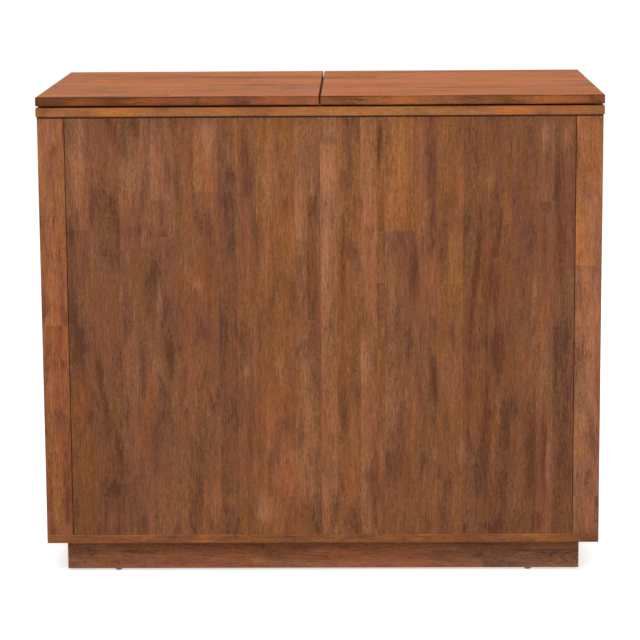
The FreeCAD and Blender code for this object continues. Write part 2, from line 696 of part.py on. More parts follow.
def door_hinge_pins(side):
    """The pins of a door's hinges."""
    half = DOOR_HINGE_LENGTH / 2
    x = side * DOOR_AXIS_X
    return [
        cylinder(HINGE_PIN_DIAMETER / 2, V(x, DOOR_AXIS_Y, z - half), V(x, DOOR_AXIS_Y, z + half))
        for z in door_hinge_heights()
    ]


def door_catches():
    """Magnetic catches on the dividers, which hold the strike plates of the doors."""
    y1 = FRONT_BACK_Y - STRIKE_THICKNESS - CATCH_GAP
    catches = []
    for side in SIDES.values():
        case = sided_box(side, DIVIDER_X, DIVIDER_X + CATCH_WIDTH, y1 - CATCH_DEPTH, y1,
                         CATCH_Z, CATCH_Z + CATCH_LENGTH)
        catches.append(bevelled_face(case, y1))
    return catches


def door_strike_plate(side):
    """The steel plate on a door that the catch holds."""
    middle = CATCH_Z + CATCH_LENGTH / 2
    return sided_box(side, DOOR_INNER_X, DIVIDER_X + CATCH_WIDTH, FRONT_BACK_Y - STRIKE_THICKNESS,
                     FRONT_BACK_Y, middle - STRIKE_LENGTH / 2, middle + STRIKE_LENGTH / 2)


def drawer_pull(side):
    """The level pull in the middle of a drawer front."""
    x = side * (DRAWER_INNER_X + DRAWER_OUTER_X) / 2
    return bar_pull(x, (DECK_TOP_Z + DRAWER_CEILING_Z) / 2, False)


def door_pull(side):
    """The upright pull of a door, near its free edge."""
    z = DOOR_TOP_Z - DOOR_PULL_TOP_INSET - PULL_LENGTH / 2
    return bar_pull(side * (DOOR_INNER_X + DOOR_PULL_INSET), z, True)


def case_nodes():
    """The pieces of the case that stay still."""
    nodes = {
        "bottom_board": bottom_board(),
        "plinth_front_rail": plinth_cross_rail(PLINTH_FRONT_Y),
        "plinth_back_rail": plinth_cross_rail(PLINTH_REAR_Y - PLINTH_THICKNESS),
        "plinth_side_rails": plinth_side_rails(),
        "plinth_corner_blocks": plinth_corner_blocks(),
        "foot_glides": foot_glides(),
        "front_panel": front_panel(),
        "panel_cleats": panel_cleats(),
        "fixed_top": fixed_top(),
        "rear_top_rail": rear_top_rail(),
        "drawer_deck": drawer_deck(),
        "drawer_divider": drawer_divider(),
        "drawer_side_guides": drawer_side_guides(),
        "rack_shelf": rack_shelf(),
        "bottle_rack_boards": bottle_rack_boards(),
        "stemware_rails": stemware_rails(),
        "shelf_bearers": shelf_bearers(),
        "bay_shelves": bay_shelves(),
        "loper_stop_blocks": loper_stop_blocks(),
        "door_catches": door_catches(),
    }
    for row, row_y in LOPER_ROWS.items():
        nodes[f"{row}_loper_guide"] = loper_guide(row_y)
    for name, side in SIDES.items():
        nodes[f"{name}_side_panel"] = side_panel(side)
        nodes[f"{name}_front_stile"] = front_stile(side)
        nodes[f"{name}_rear_stile"] = rear_stile(side)
        nodes[f"{name}_bay_divider"] = bay_divider(side)
    return nodes


def hinge_nodes():
    """The still halves and the pins of all hinges."""
    sides = SIDES.values()
    return {
        "top_hinge_base_plates": [plate for side in sides for plate in leaf_hinge_plates(side, -1)],
        "door_hinge_frame_plates": [half for side in sides for half in door_hinge_halves(side, False)],
        "hinge_pins": [pin for side in sides for pin in leaf_hinge_pins(side) + door_hinge_pins(side)],
    }


def moving_nodes(name, side):
    """The leaf, the lopers, the drawer and the door of one side, with what is fixed to them."""
    nodes = {
        f"{name}_top_leaf": top_leaf(side),
        f"{name}_leaf_hinge_plates": leaf_hinge_plates(side, 1),
        f"{name}_leaf_bumpers": leaf_bumpers(side),
        f"{name}_drawer_front": drawer_front(side),
        f"{name}_drawer_box": drawer_box(side),
        f"{name}_drawer_pull": drawer_pull(side),
        f"{name}_door": door_board(side),
        f"{name}_door_hinge_plates": door_hinge_halves(side, True),
        f"{name}_door_pull": door_pull(side),
        f"{name}_door_strike_plate": door_strike_plate(side),
    }
    for row, row_y in LOPER_ROWS.items():
        nodes[f"{row}_{name}_loper"] = loper(side, row_y)
    return nodes


def main():
    """Build every piece and write each node to its own file."""
    os.makedirs("parts", exist_ok=True)
    nodes = case_nodes()
    nodes.update(hinge_nodes())
    for name, side in SIDES.items():
        nodes.update(moving_nodes(name, side))
    for name, shape in nodes.items():
        solids = shape if isinstance(shape, list) else [shape]
        piece = solids[0] if len(solids) == 1 else Part.makeCompound(solids)
        if not piece.isValid():
            raise ValueError(f"{name} is not a valid shape")
        piece.exportStep(f"parts/{name}.step")
        print(name, len(piece.Solids), round(piece.Volume))
    print(len(nodes), "nodes")


main()
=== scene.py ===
"""The looks of a flip-top bar cabinet: wood finishes, hinges, small fasteners, studio and camera.

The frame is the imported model: metres, the guest side faces -Y, the working side faces +Y, the floor is z = 0.
"""

import logging
import math
from dataclasses import dataclass, field
from enum import Enum
from typing import Any, Sequence

import bmesh
import bpy
from mathutils import Matrix, Vector


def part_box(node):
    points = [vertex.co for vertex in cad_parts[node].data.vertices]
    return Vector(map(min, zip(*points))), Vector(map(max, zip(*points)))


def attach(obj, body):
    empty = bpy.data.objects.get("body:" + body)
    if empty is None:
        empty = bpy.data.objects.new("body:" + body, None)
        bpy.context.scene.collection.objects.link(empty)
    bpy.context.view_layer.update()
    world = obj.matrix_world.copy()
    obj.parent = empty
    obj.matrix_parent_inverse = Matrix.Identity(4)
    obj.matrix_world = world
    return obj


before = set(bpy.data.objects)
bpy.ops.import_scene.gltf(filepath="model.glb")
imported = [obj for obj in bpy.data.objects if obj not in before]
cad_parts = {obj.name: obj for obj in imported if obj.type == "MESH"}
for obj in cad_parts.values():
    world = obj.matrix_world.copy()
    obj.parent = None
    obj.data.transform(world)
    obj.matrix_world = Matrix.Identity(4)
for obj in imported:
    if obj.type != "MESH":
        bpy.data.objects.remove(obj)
bpy.context.view_layer.update()

LOG = logging.getLogger("bar_cabinet")
MM = 0.001
WHITE = (1.0, 1.0, 1.0, 1.0)
# Most of a noise's values lie between these two
NOISE_LOW, NOISE_HIGH = 0.3, 0.7
# Where the colours stand on the ramp of tones: a seam's dark glue with painted shade in the joint, then dark,
# middle and light wood
RAMP_PLACES = (0.0, 0.1, 0.5, 0.9)

Socket = bpy.types.NodeSocket
Tree = bpy.types.NodeTree
Material = bpy.types.Material
Piece = bpy.types.Object
Mesh = bmesh.types.BMesh
Point = tuple[float, float, float]
Place = tuple[Vector, Vector]


class Side(Enum):
    """The two sides of the cabinet, as seen from the guest side."""

    LEFT = -1
    RIGHT = 1

    @property
    def word(self) -> str:
        """The side's word in node names."""
        return self.name.lower()


class Grain(Enum):
    """The axes along the fibres, across the staves and through the board."""

    UPRIGHT_WIDE_X = "ZXY"
    UPRIGHT_WIDE_Y = "ZYX"
    LEVEL_X_WIDE_Y = "XYZ"
    LEVEL_X_WIDE_Z = "XZY"
    LEVEL_Y_WIDE_X = "YXZ"
    LEVEL_Y_WIDE_Z = "YZX"


class Tone(Enum):
    """How deep the stain has gone into a stave or a streak, as a step on the colour ramp; some marks use the
    same steps to paint shade and light.
    """

    # SEAM is a joint's dark glue with the shade in the gap painted on
    SEAM = -0.6
    VERY_DARK = -0.3
    DARK = -0.2
    DUSKY = -0.1
    PLAIN = 0.0
    BRIGHT = 0.1
    LIGHT = 0.2


class Hue(Enum):
    """Where a hue lies between the greyed tan and the orange wood, as a step from the middle."""

    DULL = -0.4
    TAN = -0.2
    PLAIN = 0.0
    WARM = 0.2
    ORANGE = 0.4


def linear(colour: str) -> tuple[float, float, float, float]:
    """Turns an sRGB hex colour into linear light.

    Args:
        colour: the colour as "#RRGGBB".
    Returns:
        Linear red, green and blue, and an alpha of 1.
    """
    parts = [int(colour[start:start + 2], 16) / 255 for start in (1, 3, 5)]
    red, green, blue = [
        part / 12.92 if part <= 0.04045 else ((part + 0.055) / 1.055) ** 2.4 for part in parts
    ]
    return red, green, blue, 1.0


def add(tree: Tree, kind: str, inputs: Any = (), out: Any = 0, stops: Sequence = (), **settings: Any) -> Any:
    """Adds a node, sets it up and links it.

    Args:
        tree: the node tree that gets the node.
        kind: the node's type without its "ShaderNode" prefix.
        inputs: values or sockets for the inputs, in order or by name or number; None is left alone.
        out: the output to hand back, or None for the node itself.
        stops: a colour ramp's stops, as (place, linear colour).
        settings: the node's own properties.
    Returns:
        The output socket asked for, or the node.
    """
    made = tree.nodes.new("ShaderNode" + kind)
    for name, value in settings.items():
        setattr(made, name, value)
    for key, value in (inputs.items() if isinstance(inputs, dict) else enumerate(inputs)):
        if isinstance(value, Socket):
            tree.links.new(value, made.inputs[key])
        elif value is not None:
            made.inputs[key].default_value = value
    if stops:
        marks = made.color_ramp.elements
        while len(marks) < len(stops):
            marks.new(1.0)
        for mark, (place, colour) in zip(marks, stops):
            mark.position = place
            mark.color = colour
    return made if out is None else made.outputs[out]


def blank(name: str) -> Material:
    """Makes a material with an empty node tree.

    Args:
        name: the material's name.

    Returns:
        the new material.
    """
    made = bpy.data.materials.new(name)
    made.use_nodes = True
    made.node_tree.nodes.clear()
    return made


@dataclass(frozen=True)
class Mark:
    """A mark in the figure of one board, laid out in that board's own plane, in millimetres.

    Args:
        across: where its middle lies across the staves.
        along: where its middle lies along the fibres.
        half_width: half of its width.
        half_length: half of its length.
        tone: how much darker or lighter it is than the wood around it.
        hue: how much more tan or orange it is.
        lean: how far it leans across the staves over its length.
    """

    across: float
    along: float
    half_width: float
    half_length: float
    tone: Tone
    hue: Hue = Hue.PLAIN
    lean: float = 0.0

    def strength(self, tree: Tree, along: Socket, across: Socket) -> Socket:
        """Measures how strong the mark is at a point.

        Args:
            tree: the material's node tree.
            along: the point's place along the fibres, in metres.
            across: its place across the staves, in metres.
        Returns:
            The strength, from 0 to 1.
        """
        if self.lean:
            across = add(tree, "Math", [along, -self.lean, across], operation="MULTIPLY_ADD")
        spot = add(tree, "CombineXYZ", [across, along, 0.0])
        size = (1 / (self.half_width * MM), 1 / (self.half_length * MM), 0.0)
        middle = (self.across - self.lean * self.along, self.along, 0.0)
        start = tuple(-MM * place * scale for place, scale in zip(middle, size))
        return self._faded(tree, add(tree, "VectorMath", [spot, size, start], operation="MULTIPLY_ADD"))

    def _faded(self, tree: Tree, spot: Socket) -> Socket:
        """Turns a point's place, in half widths and half lengths from the middle, into a strength."""
        raise NotImplementedError


@dataclass(frozen=True)
class Streak(Mark):
    """A streak or patch, at full strength up to its core, that fades out softly to its rim."""

    core: float = 0.15
    rim: float = 1.05

    def _faded(self, tree: Tree, spot: Socket) -> Socket:
        """Fades with the distance from the middle."""
        far = add(tree, "VectorMath", [spot], out="Value", operation="LENGTH")
        return add(tree, "MapRange", [far, self.core, self.rim, 1.0, 0.0], interpolation_type="SMOOTHSTEP")


@dataclass(frozen=True)
class Length(Mark):
    """A length of one stave that ends at sharp joints, or a seam."""

    def _faded(self, tree: Tree, spot: Socket) -> Socket:
        """Tells the inside from the outside.

        Args:
            tree: the material's node tree.
            spot: the point's place, in half widths and half lengths from the middle.
        Returns:
            1 inside, 0 outside.
        """
        spot = add(tree, "VectorMath", [spot], operation="ABSOLUTE")
        parts = add(tree, "SeparateXYZ", [spot], out=None)
        far = add(tree, "Math", [parts.outputs[0], parts.outputs[1]], operation="MAXIMUM")
        return add(tree, "Math", [far, 1.0], operation="LESS_THAN")


@dataclass(frozen=True)
class Flame(Mark):
    """Nested arcs where the saw has cut growth rings flat; they fade from the core to the rim."""

    rings: int = 5
    core: float = 0.4
    rim: float = 1.0

    def _faded(self, tree: Tree, spot: Socket) -> Socket:
        """Draws the arcs.

        Args:
            tree: the material's node tree.
            spot: the point's place, in half widths and half lengths from the middle.
        Returns:
            The strength, from 0 between two arcs to 1 on one.
        """
        far = add(tree, "VectorMath", [spot], out="Value", operation="LENGTH")
        turned = add(tree, "Math", [far, 2 * math.pi * self.rings], operation="MULTIPLY")
        arcs = add(tree, "Math", [turned], operation="SINE")
        near = add(tree, "MapRange", [far, self.core, self.rim, 1.0, 0.0], interpolation_type="SMOOTHSTEP")
        return add(tree, "Math", [arcs, near], operation="MULTIPLY", use_clamp=True)


def laid(kind: type[Mark], tone: Tone, hue: Hue, *rows: tuple[float, ...]) -> tuple[Mark, ...]:
    """Lays out marks of one kind, tone and hue.

    Args:
        kind: the kind of mark.
        tone: how much darker or lighter they are than the wood around them.
        hue: how much more tan or orange they are.
        rows: each mark's middle across and along the fibres, half width, half length and, if any, lean.
    Returns:
        The marks.
    """
    return tuple(kind(*row[:4], tone, hue, *row[4:]) for row in rows)


@dataclass(frozen=True)
class Figure:
    """The figure of one board as it was glued up, seen on its face.

    Args:
        low: where the board starts across its staves, in millimetres.
        high: where it ends.
        staves: each stave's start across the board, its tone and its hue; none for the finish's own.
        marks: the lengths and streaks on them.
        seams: the seams where the board meets its neighbours, darker than any wood: dark glue with the shade in
            the joint painted on.
    """

    low: float = 0.0
    high: float = 1.0
    staves: tuple[tuple[float, Tone, Hue], ...] = ()
    marks: tuple[Mark, ...] = ()
    seams: tuple[Mark, ...] = ()

    def properties(self, tree: Tree, across: Socket) -> tuple[Socket, Socket, Socket]:
        """Reads a stave's tone, hue and number from where a point lies across the board.

        Args:
            tree: the material's node tree.
            across: the place across the staves, in metres.
        Returns:
            The stave's tone and hue, where 0.5 is plain, and a number of its own.
        """
        place = add(tree, "MapRange", [across, self.low * MM, self.high * MM, 0.0, 1.0])
        stops = []
        for number, (start, tone, hue) in enumerate(self.staves):
            share = (start - self.low) / (self.high - self.low)
            stops.append((share, (0.5 + tone.value, 0.5 + hue.value, number / len(self.staves), 1.0)))
        ramp = add(tree, "ValToRGB", [place], out=None, stops=stops)
        ramp.color_ramp.interpolation = "CONSTANT"
        parts = add(tree, "SeparateColor", [ramp.outputs[0]], out=None)
        return parts.outputs[0], parts.outputs[1], parts.outputs[2]


@dataclass(frozen=True)
class Edges:
    """How the edges of a single board differ: stain taken on them, and along the arrises painted shade on some
    boards and a painted highlight on others.

    Args:
        low: the lowest corner of the board, or lower on a side whose arrises stay plain.
        high: its highest corner, or higher.
        arris: the tone along the arrises: painted shade with pooled stain where darker, a painted highlight
            where lighter.
        narrow: the tone of the narrow upright faces, where end and edge grain evens the stain out.
        hue: the hue of the narrow upright faces.
        even_share: how much of the difference between light and dark is evened out there.
        arris_reach: up to where the arris has its full tone, and where it has faded out.
        face_reach: how deep a narrow face's tone goes in full, and where it ends.
    """

    low: Vector
    high: Vector
    arris: Tone
    narrow: Tone = Tone.PLAIN
    hue: Hue = Hue.PLAIN
    even_share: float = 0.5
    arris_reach: tuple[float, float] = (0.4 * MM, 3.2 * MM)
    face_reach: tuple[float, float] = (0.3 * MM, 1.3 * MM)


@dataclass(frozen=True)
class Layer:
    """One layer of marks that run with the fibres, drawn as stretched noise.

    Args:
        width: how wide a mark is, in metres.
        stretch: how many times longer it is.
        detail: how many finer steps the noise has.
        roughness: how strong the finer steps are.
        distortion: how much the marks are bent.
    """

    width: float
    stretch: float
    detail: float
    roughness: float = 0.5
    distortion: float = 0.0

    def drawn(self, tree: Tree, spot: Socket) -> Socket:
        """Draws the layer.

        Args:
            tree: the material's node tree.
            spot: a point's place along, across and through the board, in metres.
        Returns:
            The layer's strength there, from 0 to 1.
        """
        size = (1 / (self.stretch * self.width), 1 / self.width, 1 / self.width)
        scaled = add(tree, "VectorMath", [spot, size], operation="MULTIPLY")
        return add(tree, "TexNoise", {"Vector": scaled, "Scale": 1.0, "Detail": self.detail,
                                      "Roughness": self.roughness, "Distortion": self.distortion})


@dataclass
class Board:
    """A board's material while it is being made.

    Args:
        tree: its node tree.
        place: a point's place in the frame, in metres.
        along: the point's place along the fibres.
        across: its place across the staves.
        through: its place through the board.
        tone: its tone, where 0.5 is plain.
        hue: its hue, from tan at 0 to orange at 1.
        chance: a random colour of the length of stave that it lies in.
        drift: the strength of each layer of the grain there, by name.
    """

    tree: Tree
    place: Socket
    along: Socket
    across: Socket
    through: Socket
    tone: Socket | None = None
    hue: Socket | None = None
    chance: Socket | None = None
    drift: dict[str, Socket] = field(default_factory=dict)

    def shift(self, strength: Socket, tone: float, hue: float = 0.0) -> None:
        """Shifts tone and hue where something is strong.

        Args:
            strength: how strong it is.
            tone: how far a strength of 1 shifts the tone.
            hue: how far it shifts the hue.
        """
        if tone:
            self.tone = add(self.tree, "Math", [strength, tone, self.tone], operation="MULTIPLY_ADD")
        if hue:
            self.hue = add(self.tree, "Math", [strength, hue, self.hue], operation="MULTIPLY_ADD")


@dataclass(frozen=True)
class WoodFinish:
    """Acacia glued up from staves and sanded, with stain and lacquer or bare.

    Tan and orange boards lie side by side in such wood, so it has two rows of colours, each from the dark
    late wood over the body to the light early wood. Lengths are in metres. A shift says how far a layer of
    the grain changes the tone, in steps on the ramp; hue_shift turns the hue, and ruddy_shift turns the
    colour on the colour circle. The lacquer's gloss is broken up by gloss_swing and pore_dulling.
    """

    name: str
    tan: tuple[str, str, str]
    orange: tuple[str, str, str]
    # deep: the ramp's bottom colour, which only seams reach: dark glue with painted shade
    deep: str = "#2B1A12"
    stave: float = 47 * MM
    segment: float = 420 * MM
    stave_shift: float = 0.14
    stave_turn: float = 0.7
    band_shift: float = 0.55
    streak_shift: float = 0.4
    fibre_shift: float = 0.75
    mottle_shift: float = 0.3
    blotch_shift: float = 0.2
    pore_shift: float = 0.16
    hue_shift: float = 0.35
    ruddy_shift: float = 0.006
    roughness: float = 0.55
    gloss_swing: float = 0.18
    pore_dulling: float = 0.12
    sheen: float = 0.2
    coat: float = 0.03
    relief: float = 0.35
    # The widths of staves differ by this share of one, from one group of this many staves to the next
    stave_spread: float = 0.9
    stave_group: float = 5
    # A stave's fibres lean by up to this share and sway this far over this length
    lean: float = 0.035
    sway: float = 9 * MM
    sway_length: float = 250 * MM
    # The rim of a streak frays this far across and along the fibres
    fray: tuple[float, float] = (14 * MM, 70 * MM)
    # Real acacia has bands of 10 to 40 mm, streaks of 4 to 10 mm and fibres and pores of 0.2 to 0.4 mm. The
    # last two are drawn 2 to 3 mm wide, because a finer line would not show in the picture. The mottle is the
    # short ripple of light and dark where the fibres wave, and blotches are where stain has pooled.
    band_width: float = 26 * MM
    streak_width: float = 8 * MM
    fibre_width: float = 2.6 * MM
    pore_width: float = 1.8 * MM
    mottle_width: float = 5 * MM
    blotch_width: float = 34 * MM
    crowd_width: float = 30 * MM

    def material(self, grain: Grain, figure: Figure = Figure(), edges: Edges | None = None,
                 mark: str = "", sides: tuple[float, float] | None = None) -> Material:
        """Makes the finish for boards whose fibres run one way.

        Args:
            grain: the way of the fibres and staves.
            figure: what is laid out on the board.
            edges: how the edges of a single board differ, or None.
            mark: an ending for the material's name, where the board is one of a kind.
            sides: the inner faces of a box's two sides, where the fibres run through instead of along.
        Returns:
            The material, made once and then reused.
        """
        name = "_".join(part for part in (self.name, grain.name.lower(), mark) if part)
        if name in bpy.data.materials:
            return bpy.data.materials[name]
        made = blank(name)
        tree = made.node_tree
        place = add(tree, "TexCoord", out="Object")
        parts = add(tree, "SeparateXYZ", [place], out=None)
        along, across, through = [parts.outputs["XYZ".index(axis)] for axis in grain.value]
        if sides:
            far = add(tree, "Math", [along, -(sides[0] + sides[1]) / 2], operation="ADD")
            far = add(tree, "Math", [far], operation="ABSOLUTE")
            turned = add(tree, "Math", [far, (sides[1] - sides[0]) / 2], operation="GREATER_THAN")
            along, through = (add(tree, "Mix", [turned, None, *pair], data_type="FLOAT")
                              for pair in ((along, through), (through, along)))
        board = Board(tree, place, along, across, through)
        self._split(board, figure)
        self._grow(board)
        self._stain(board)
        self._mark(board, figure)
        if edges:
            self._edge(board, edges)
        # No stain goes deeper than the dark wood's colour; only the seams do, with their dark glue and painted
        # shade
        board.tone = add(tree, "Math", [board.tone, RAMP_PLACES[1]], operation="MAXIMUM")
        # The seams' dark glue and painted shade go on last
        for seam in figure.seams:
            board.shift(seam.strength(tree, along, across), seam.tone.value)
        self._lacquer(board)
        return made

    def _split(self, board: Board, figure: Figure) -> None:
        """Splits a board into staves and the staves into lengths that meet end to end.

        Args:
            board: the board, which gets its first tone and hue.
            figure: the figure that may give the staves.
        """
        tree = board.tree
        if figure.staves:
            board.tone, board.hue, number = figure.properties(tree, board.across)
        else:
            drift = add(tree, "TexNoise", {"W": board.across, "Scale": 1 / (self.stave_group * self.stave),
                                           "Detail": 0.0}, noise_dimensions="1D")
            spread = add(tree, "Math", [drift, self.stave_spread * self.stave, board.across],
                         operation="MULTIPLY_ADD")
            count = add(tree, "Math", [spread, 1 / self.stave], operation="MULTIPLY")
            number = add(tree, "Math", [count], operation="FLOOR")
        own = add(tree, "TexWhiteNoise", {"W": number}, noise_dimensions="1D")
        run = add(tree, "Math", [board.along, 1 / self.segment, own], operation="MULTIPLY_ADD")
        step = add(tree, "Math", [run], operation="FLOOR")
        cell = add(tree, "CombineXYZ", [number, step, 0.0])
        random = add(tree, "TexWhiteNoise", {"Vector": cell}, out=None, noise_dimensions="2D")
        board.chance = random.outputs[1]
        if board.tone is None:
            half, turn = self.stave_shift / 2, self.stave_turn / 2
            board.tone = add(tree, "MapRange", [random.outputs[0], 0.0, 1.0, 0.5 - half, 0.5 + half])
            parts = add(tree, "SeparateColor", [board.chance], out=None)
            board.hue = add(tree, "MapRange", [parts.outputs[1], 0.0, 1.0, 0.5 - turn, 0.5 + turn])

    def _grow(self, board: Board) -> None:
        """Grows the layers of marks that run with the fibres.

        Args:
            board: the board.
        """
        tree = board.tree
        parts = add(tree, "SeparateColor", [board.chance], out=None)
        lean = add(tree, "MapRange", [parts.outputs[2], 0.0, 1.0, -self.lean, self.lean])
        leaning = add(tree, "Math", [board.along, lean, board.across], operation="MULTIPLY_ADD")
        swing = add(tree, "TexNoise", {"W": board.along, "Scale": 1 / self.sway_length, "Detail": 1.0},
                    noise_dimensions="1D")
        swaying = add(tree, "Math", [swing, self.sway, leaning], operation="MULTIPLY_ADD")
        spot = add(tree, "CombineXYZ", [board.along, swaying, board.through])
        # Each length comes from another place in the tree
        elsewhere = (3.1, 1.7, 2.3)
        spot = add(tree, "VectorMath", [board.chance, elsewhere, spot], operation="MULTIPLY_ADD")
        for name, layer in {
            "band": Layer(self.band_width, 14, 3.0, 0.55, 0.35),
            "streak": Layer(self.streak_width, 11, 3.0, 0.6),
            "fibre": Layer(self.fibre_width, 9, 2.0, 0.7),
            "pore": Layer(self.pore_width, 3.5, 1.0),
            "mottle": Layer(self.mottle_width, 1.6, 3.0, 0.7),
            "blotch": Layer(self.blotch_width, 3, 2.0, 0.5, 0.3),
            "crowd": Layer(self.crowd_width, 7, 1.0),
        }.items():
            board.drift[name] = layer.drawn(tree, spot)
        # Pores crowd together in some bands and are rare in others: what stands over the bar is a pore
        rare, crowded, rim = 0.62, 0.5, 0.1
        bar = add(tree, "MapRange", [board.drift["crowd"], 0.35, 0.65, rare, crowded])
        over = add(tree, "Math", [board.drift["pore"], bar], operation="SUBTRACT")
        board.drift["pores"] = add(tree, "MapRange", [over, 0.0, rim, 0.0, 1.0])
        dry, pooled = 0.5, 0.72
        board.drift["pooled"] = add(tree, "MapRange", [board.drift["blotch"], dry, pooled, 0.0, 1.0],
                                    interpolation_type="SMOOTHSTEP")

    def _stain(self, board: Board) -> None:
        """Lets the grain change the depth of the stain.

        Args:
            board: the board.
        """
        for name, share in (("band", self.band_shift), ("streak", self.streak_shift),
                            ("fibre", self.fibre_shift), ("mottle", self.mottle_shift)):
            board.shift(board.drift[name], share)
            board.tone = add(board.tree, "Math", [board.tone, share / 2], operation="SUBTRACT")
        board.shift(board.drift["pooled"], -self.blotch_shift)
        board.shift(board.drift["pores"], -self.pore_shift)
        turn = add(board.tree, "MapRange", [board.drift["blotch"], NOISE_LOW, NOISE_HIGH,
                                            self.hue_shift, -self.hue_shift])
        board.hue = add(board.tree, "Math", [board.hue, turn], operation="ADD")

    def _mark(self, board: Board, figure: Figure) -> None:
        """Adds the listed marks; the rim of a streak frays along the fibres.

        Args:
            board: the board.
            figure: the figure that holds the marks.
        """
        frayed = []
        across, along = self.fray
        for name, reach, place in (("fibre", along, board.along), ("streak", across, board.across)):
            moved = add(board.tree, "Math", [board.drift[name], reach, place], operation="MULTIPLY_ADD")
            frayed.append(add(board.tree, "Math", [moved, reach / 2], operation="SUBTRACT"))
        for mark in figure.marks:
            spot = frayed if isinstance(mark, Streak) else (board.along, board.across)
            board.shift(mark.strength(board.tree, *spot), mark.tone.value, mark.hue.value)

    def _edge(self, board: Board, edges: Edges) -> None:
        """Changes tone and hue on the arrises and narrow faces of a single board.

        Args:
            board: the board.
            edges: its edges.
        """
        tree = board.tree
        inner = add(tree, "VectorMath", [board.place, tuple(edges.low)], operation="SUBTRACT")
        outer = add(tree, "VectorMath", [tuple(edges.high), board.place], operation="SUBTRACT")
        near = add(tree, "VectorMath", [inner, outer], operation="MINIMUM")
        parts = add(tree, "SeparateXYZ", [near], out=None)
        first, second, third = parts.outputs
        # A point lies by an arris where the second smallest of its three distances to a face is small
        less = add(tree, "Math", [first, second], operation="MINIMUM")
        more = add(tree, "Math", [first, second], operation="MAXIMUM")
        least = add(tree, "Math", [more, third], operation="MINIMUM")
        arris = add(tree, "Math", [less, least], operation="MAXIMUM")
        shift = add(tree, "MapRange", [arris, *edges.arris_reach, edges.arris.value, 0.0],
                    interpolation_type="SMOOTHSTEP")
        board.tone = add(tree, "Math", [board.tone, shift], operation="ADD")
        if edges.narrow.value:
            face = add(tree, "MapRange", [less, *edges.face_reach, 1.0, 0.0])
            share = add(tree, "Math", [face, edges.even_share], operation="MULTIPLY")
            board.tone = add(tree, "Mix", [share, None, board.tone, 0.5], data_type="FLOAT")
            board.shift(face, edges.narrow.value, edges.hue.value)

    def _lacquer(self, board: Board) -> None:
        """Turns tone and hue into colour and puts the lacquer over it.

        Args:
            board: the board.
        """
        tree, drift = board.tree, board.drift
        blend = add(tree, "Math", [board.hue, 0.0], operation="ADD", use_clamp=True)
        shades = []
        for row in (self.tan, self.orange):
            stops = [(place, linear(shade)) for place, shade in zip(RAMP_PLACES, (self.deep, *row))]
            shades.append(add(tree, "ValToRGB", [board.tone], stops=stops))
        colour = add(tree, "Mix", {0: blend, 6: shades[0], 7: shades[1]}, out=2, data_type="RGBA")
        # Some staves and bands are a little ruddier, others yellower, at the same depth of stain
        turned = add(tree, "MapRange", [drift["crowd"], NOISE_LOW, NOISE_HIGH, 0.5 - self.ruddy_shift,
                                        0.5 + self.ruddy_shift])
        colour = add(tree, "HueSaturation", {"Hue": turned, "Color": colour})
        # Pores and fibres stay open under a thin coat, so they break up its gloss and lie a little lower
        gloss = add(tree, "Math", [drift["fibre"], self.gloss_swing, self.roughness - self.gloss_swing / 2],
                    operation="MULTIPLY_ADD")
        dull = add(tree, "Math", [drift["pores"], self.pore_dulling, gloss], operation="MULTIPLY_ADD")
        pore_rise, streak_rise, height = -1.2, 0.6, 0.35 * MM
        rise = add(tree, "Math", [drift["pores"], pore_rise, drift["fibre"]], operation="MULTIPLY_ADD")
        rise = add(tree, "Math", [drift["streak"], streak_rise, rise], operation="MULTIPLY_ADD")
        normal = add(tree, "Bump", {"Strength": self.relief, "Distance": height, "Height": rise})
        shader = add(tree, "BsdfPrincipled", {
            "Base Color": colour, "Roughness": dull, "Normal": normal, "IOR": 1.45,
            "Specular IOR Level": self.sheen,
            "Coat Weight": self.coat, "Coat Roughness": 0.4, "Coat IOR": 1.5,
        })
        add(tree, "OutputMaterial", [shader], out=None)


# Acacia, planed and glued up, walnut-brown stain, satin lacquer: tan and orange staves with soft brown bands,
# open dark pores and a low even sheen. The leaves' tops are the lightest and reddest: partly a redder stain,
# partly painted light that stands in for the stronger light on a top. The plinth is the darkest.
PANEL_WOOD = WoodFinish("acacia_panel_walnut_stain_satin_lacquer",
                        tan=("#59321E", "#805238", "#AB7355"), orange=("#5F3215", "#8A5226", "#B57243"),
                        segment=2000 * MM, band_shift=0.4, streak_shift=0.34, fibre_shift=0.7,
                        mottle_shift=0.4)
FRAME_WOOD = WoodFinish("acacia_frame_walnut_stain_satin_lacquer",
                        tan=("#673922", "#946043", "#BA805F"), orange=("#6E3819", "#A15E2F", "#C77E4C"),
                        band_width=20 * MM, stave=60 * MM)
BOTTOM_WOOD = WoodFinish("acacia_bottom_walnut_stain_satin_lacquer",
                         tan=("#5F3521", "#845437", "#AA7149"), orange=("#673415", "#935221", "#B96E32"),
                         band_shift=0.35, stave=70 * MM, segment=900 * MM)
DOOR_WOOD = WoodFinish("acacia_door_walnut_stain_satin_lacquer",
                       tan=("#633823", "#88573D", "#AF7657"), orange=("#69371A", "#93562C", "#BA7545"))
LEAF_WOOD = WoodFinish("acacia_leaf_red_brown_stain_satin_lacquer",
                       tan=("#613B23", "#AD6D4D", "#C7855F"), orange=("#673A1B", "#BC6B38", "#D5834A"),
                       band_shift=0.75, stave=64 * MM, stave_shift=0.16, blotch_shift=0.14, segment=900 * MM,
                       streak_shift=0.3, fibre_shift=0.6, mottle_shift=0.1, streak_width=12 * MM,
                       roughness=0.62, sheen=0.04, coat=0.0)
FIXED_TOP_WOOD = WoodFinish("acacia_fixed_top_brown_stain_satin_lacquer",
                            tan=("#764424", "#A2693A", "#BC804A"), orange=("#804315", "#B5671E", "#CD7E30"),
                            band_shift=0.25, stave=64 * MM, stave_shift=0.1, segment=900 * MM,
                            streak_shift=0.25, fibre_shift=0.5, mottle_shift=0.2)
